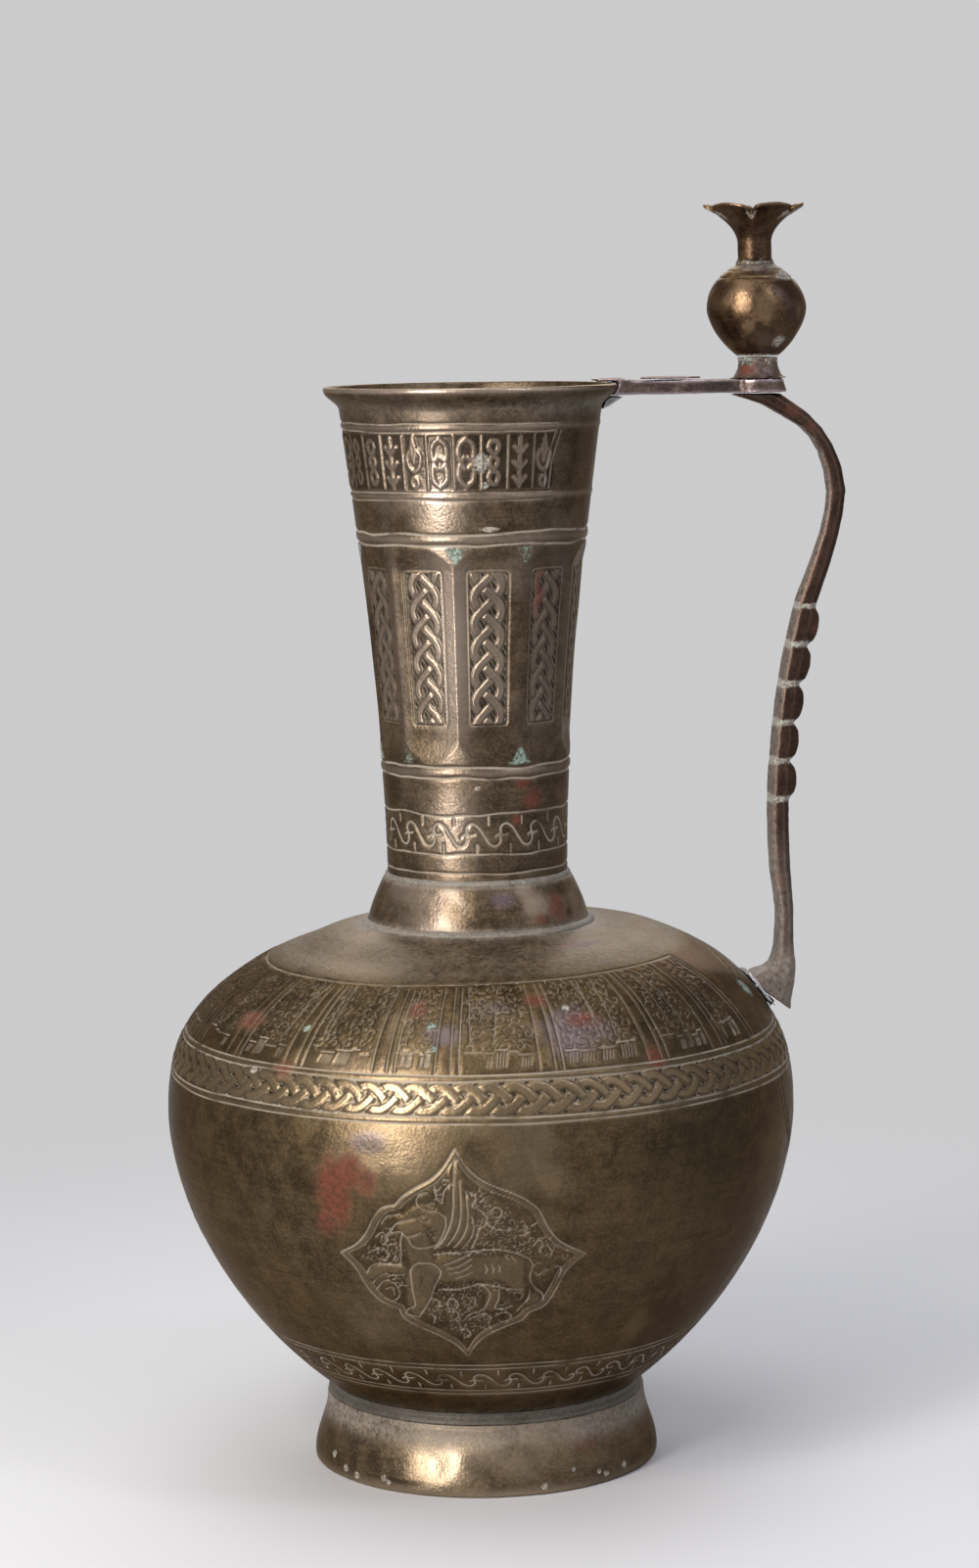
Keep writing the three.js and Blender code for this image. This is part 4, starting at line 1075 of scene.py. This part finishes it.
def make_bulb(centre):
    swing = np.sin(np.linspace(-math.pi / 2, math.pi / 2, 400))
    z = BULB_MIDDLE + np.where(swing < 0, BULB_MIDDLE - BULB_BASE, BULB_TOP - BULB_MIDDLE) * swing
    t = Turned(even(np.c_[bulb_radius(z), z], 0.34), [(2.5, BULB_TOP), (2.5, BULB_BASE)], 240, centre)
    p, down = t.skin, t.s.max() - t.up
    t.mark("crust", 0.6 * bell(t.up / 1.4) + 0.3 * bell(down))
    t.blobs("crust", (-48, 345, 5, 2.2, 0.8), (-64, 326, 3, 3, 0.7))
    t.mark("wear", 0.42 * smooth((noise(p, 5, 5, 5.0) + 0.15) / 0.9))
    # Painted highlights on the bulb's lit side, partly worn metal
    t.blobs("wear", (-120, 340, 4, 4), (-105, 326, 7, 3), amount=0.5)
    # Painted shade on the flanks, and dark patina clouds
    t.mark("dark", np.maximum(shaded(t, 0.65), 0.1 + 0.6 * smooth((noise(p, 7, 3, 8.0) + 0.05) / 0.5)))
    t.mark("red", 0.3 * smooth(noise(p, 9, 3, 12.0) * 1.5))
    t.mark("dust", 0.8 * smooth((5 - down) / 4) * smooth(np.cos(t.angle + 0.8) + 0.6))
    t.mark("sheen_and_violet_tint", 0.5 * smooth(noise(p, 8, 3, 4.0) * 1.6))
    t.rings(((344.6, 344.6), (346.6, 346.6)), 0.3, 0.6, 0.1, 0.3)
    t.finish("bulb", "finial_bulb", FINIAL, (0.12, 7.0), FINIAL_LEAN)


def petals(r, z, a):
    """Six petals that droop at their middles, with notches between them."""
    turn, first = TAU / 6, math.radians(14.5)
    off = np.mod(a - first + turn / 2, turn) - turn / 2
    share = np.clip((r - 4.9) / 9.7, 0, 1)
    notch = bell(off / math.radians(4.6))
    droop = 0.5 + 0.5 * np.cos(off * 6)
    return r * (1 - 0.24 * notch * share ** 1.5), z - (0.8 * droop + 2.2 * notch) * share ** 3


def make_cup(centre):
    outer = even(np.concatenate([[(0.02, CUP_BASE - 0.3), (5.7, CUP_BASE - 0.3), (5.5, CUP_BASE + 0.5)],
                                 rows_of(cup_radius, CUP_BASE + 1.6, CUP_TOP - 1, 200),
                                 [(14.6, 365.8), (14.3, 366.0)]]), 0.32)
    z = np.linspace(CUP_TOP - 0.2, CUP_FLOOR, 30)
    inner = np.concatenate([np.c_[np.maximum(cup_radius(z) - 1.3, 2), z], [(1.0, 355.9), (0.02, 355.9)]])
    t = Turned(outer, inner, 360, centre, petals)
    p, down = t.skin, t.s.max() - t.up
    t.mark("crust", 0.5 * bell((t.up - 6.2) / 1.3))
    t.mark("wear", np.maximum(0.5 * smooth(1.4 - down), 0.2 * smooth(noise(p, 6, 3, 5.0))))
    # Painted shade on the flanks, and dark patina
    t.mark("dark", np.maximum(shaded(t, 0.7), 0.35 + 0.5 * smooth(noise(p, 7, 3, 8.0) * 1.4)))
    t.mark("red", 0.5 * smooth(noise(p, 8, 3, 12.0) * 1.5) * smooth((7 - down) / 4))
    t.blobs("crust", (-105.5, 363.4, 1.7, 4.0), (-45.5, 363.4, 1.7, 4.0), (-165.5, 363.4, 1.7, 4.0))
    t.finish("cup", "finial_cup", FINIAL, (0.1, 6.0), FINIAL_LEAN)


make_body()
make_neck()
make_foot()
make_collar()
make_beads()
make_handle()
for make in (make_seat, make_bulb, make_cup):
    make(AXIS_X + FINIAL_X)

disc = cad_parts["base_disc"]
if not disc.material_slots:
    disc.data.materials.append(FOOT)
for disc_slot in disc.material_slots:
    disc_slot.material = FOOT

# Camera, at the photograph's place
camera = bpy.data.objects.new("camera", bpy.data.cameras.new("camera"))
bpy.context.scene.collection.objects.link(camera)
camera.data.lens = 90.83
camera.data.sensor_width = 36
camera.data.clip_start = 0.05
forward = Vector((0.14149, 0.98233, -0.12254)).normalized()
right = forward.cross(Vector((0, 0, 1))).normalized()
up = right.cross(forward)
roll = math.radians(-0.874)
right, up = math.cos(roll) * right + math.sin(roll) * up, math.cos(roll) * up - math.sin(roll) * right
pose = Matrix((right, up, -forward)).transposed().to_4x4()
pose.translation = Vector((-0.16868, -1.1340, 0.3405))
camera.matrix_world = pose
bpy.context.scene.camera = camera

# Floor and backdrop: one pale tone, with the floor's own shading only near the ewer
floor_mesh = bpy.data.meshes.new("floor")
ring_points = [(6 * math.cos(TAU * k / 96), 6 * math.sin(TAU * k / 96), 0) for k in range(96)]
floor_mesh.from_pydata(ring_points, [], [tuple(range(96))])
floor = bpy.data.objects.new("floor", floor_mesh)
bpy.context.scene.collection.objects.link(floor)
ground = bpy.data.materials.new("floor")
n = Nodes(ground)
diffuse = n.new("ShaderNodeBsdfDiffuse", {"Color": PALE})
glow = n.new("ShaderNodeEmission", {"Color": PALE})
away = n.new("ShaderNodeVectorMath", {0: n.place}, operation="LENGTH").outputs["Value"]
join = n.new("ShaderNodeMixShader", {0: n.step(away, 0.16, 0.5), 1: diffuse.outputs[0], 2: glow.outputs[0]})
n.new("ShaderNodeOutputMaterial", {"Surface": join.outputs[0]})
floor_mesh.materials.append(ground)

world = bpy.data.worlds.new("world")
bpy.context.scene.world = world
n = Nodes(world)
rays = n.new("ShaderNodeLightPath").outputs
seen = n.math("MAXIMUM", n.math("MAXIMUM", rays["Is Camera Ray"], rays["Is Glossy Ray"]), rays["Is Transmission Ray"])
soft = n.new("ShaderNodeBackground", {"Color": (0.9, 0.92, 1.0), "Strength": 0.35})
plain = n.new("ShaderNodeBackground", {"Color": PALE})
join = n.new("ShaderNodeMixShader", {0: seen, 1: soft.outputs[0], 2: plain.outputs[0]})
n.new("ShaderNodeOutputWorld", {"Surface": join.outputs[0]})


def lamp(name, place, target, size, power, colour=(1, 1, 1)):
    data = bpy.data.lights.new(name, "AREA")
    data.shape = "RECTANGLE"
    data.size, data.size_y = size
    data.energy = power
    data.color = colour
    made = bpy.data.objects.new(name, data)
    made.location = place
    made.rotation_euler = (Vector(target) - Vector(place)).to_track_quat("-Z", "Y").to_euler()
    bpy.context.scene.collection.objects.link(made)


lamp("key", (-0.52, -0.57, 0.45), (0, 0, 0.25), (0.2, 0.84), 9.5, (1.0, 0.95, 0.90))
lamp("window", (0.62, -0.72, 1.35), (0, 0, 0.15), (0.26, 0.26), 3.2, (0.84, 0.85, 1.0))
lamp("fill", (1.3, -0.9, 0.7), (0, 0, 0.15), (1.2, 1.2), 3, (0.95, 0.96, 1.0))
lamp("back", (0.4, 1.4, 1.1), (0, 0, 0.15), (1.4, 1.0), 14)
lamp("top", (-0.2, -0.1, 1.7), (0, 0, 0.2), (1.0, 1.0), 8)

bpy.context.scene.view_settings.view_transform = "Standard"
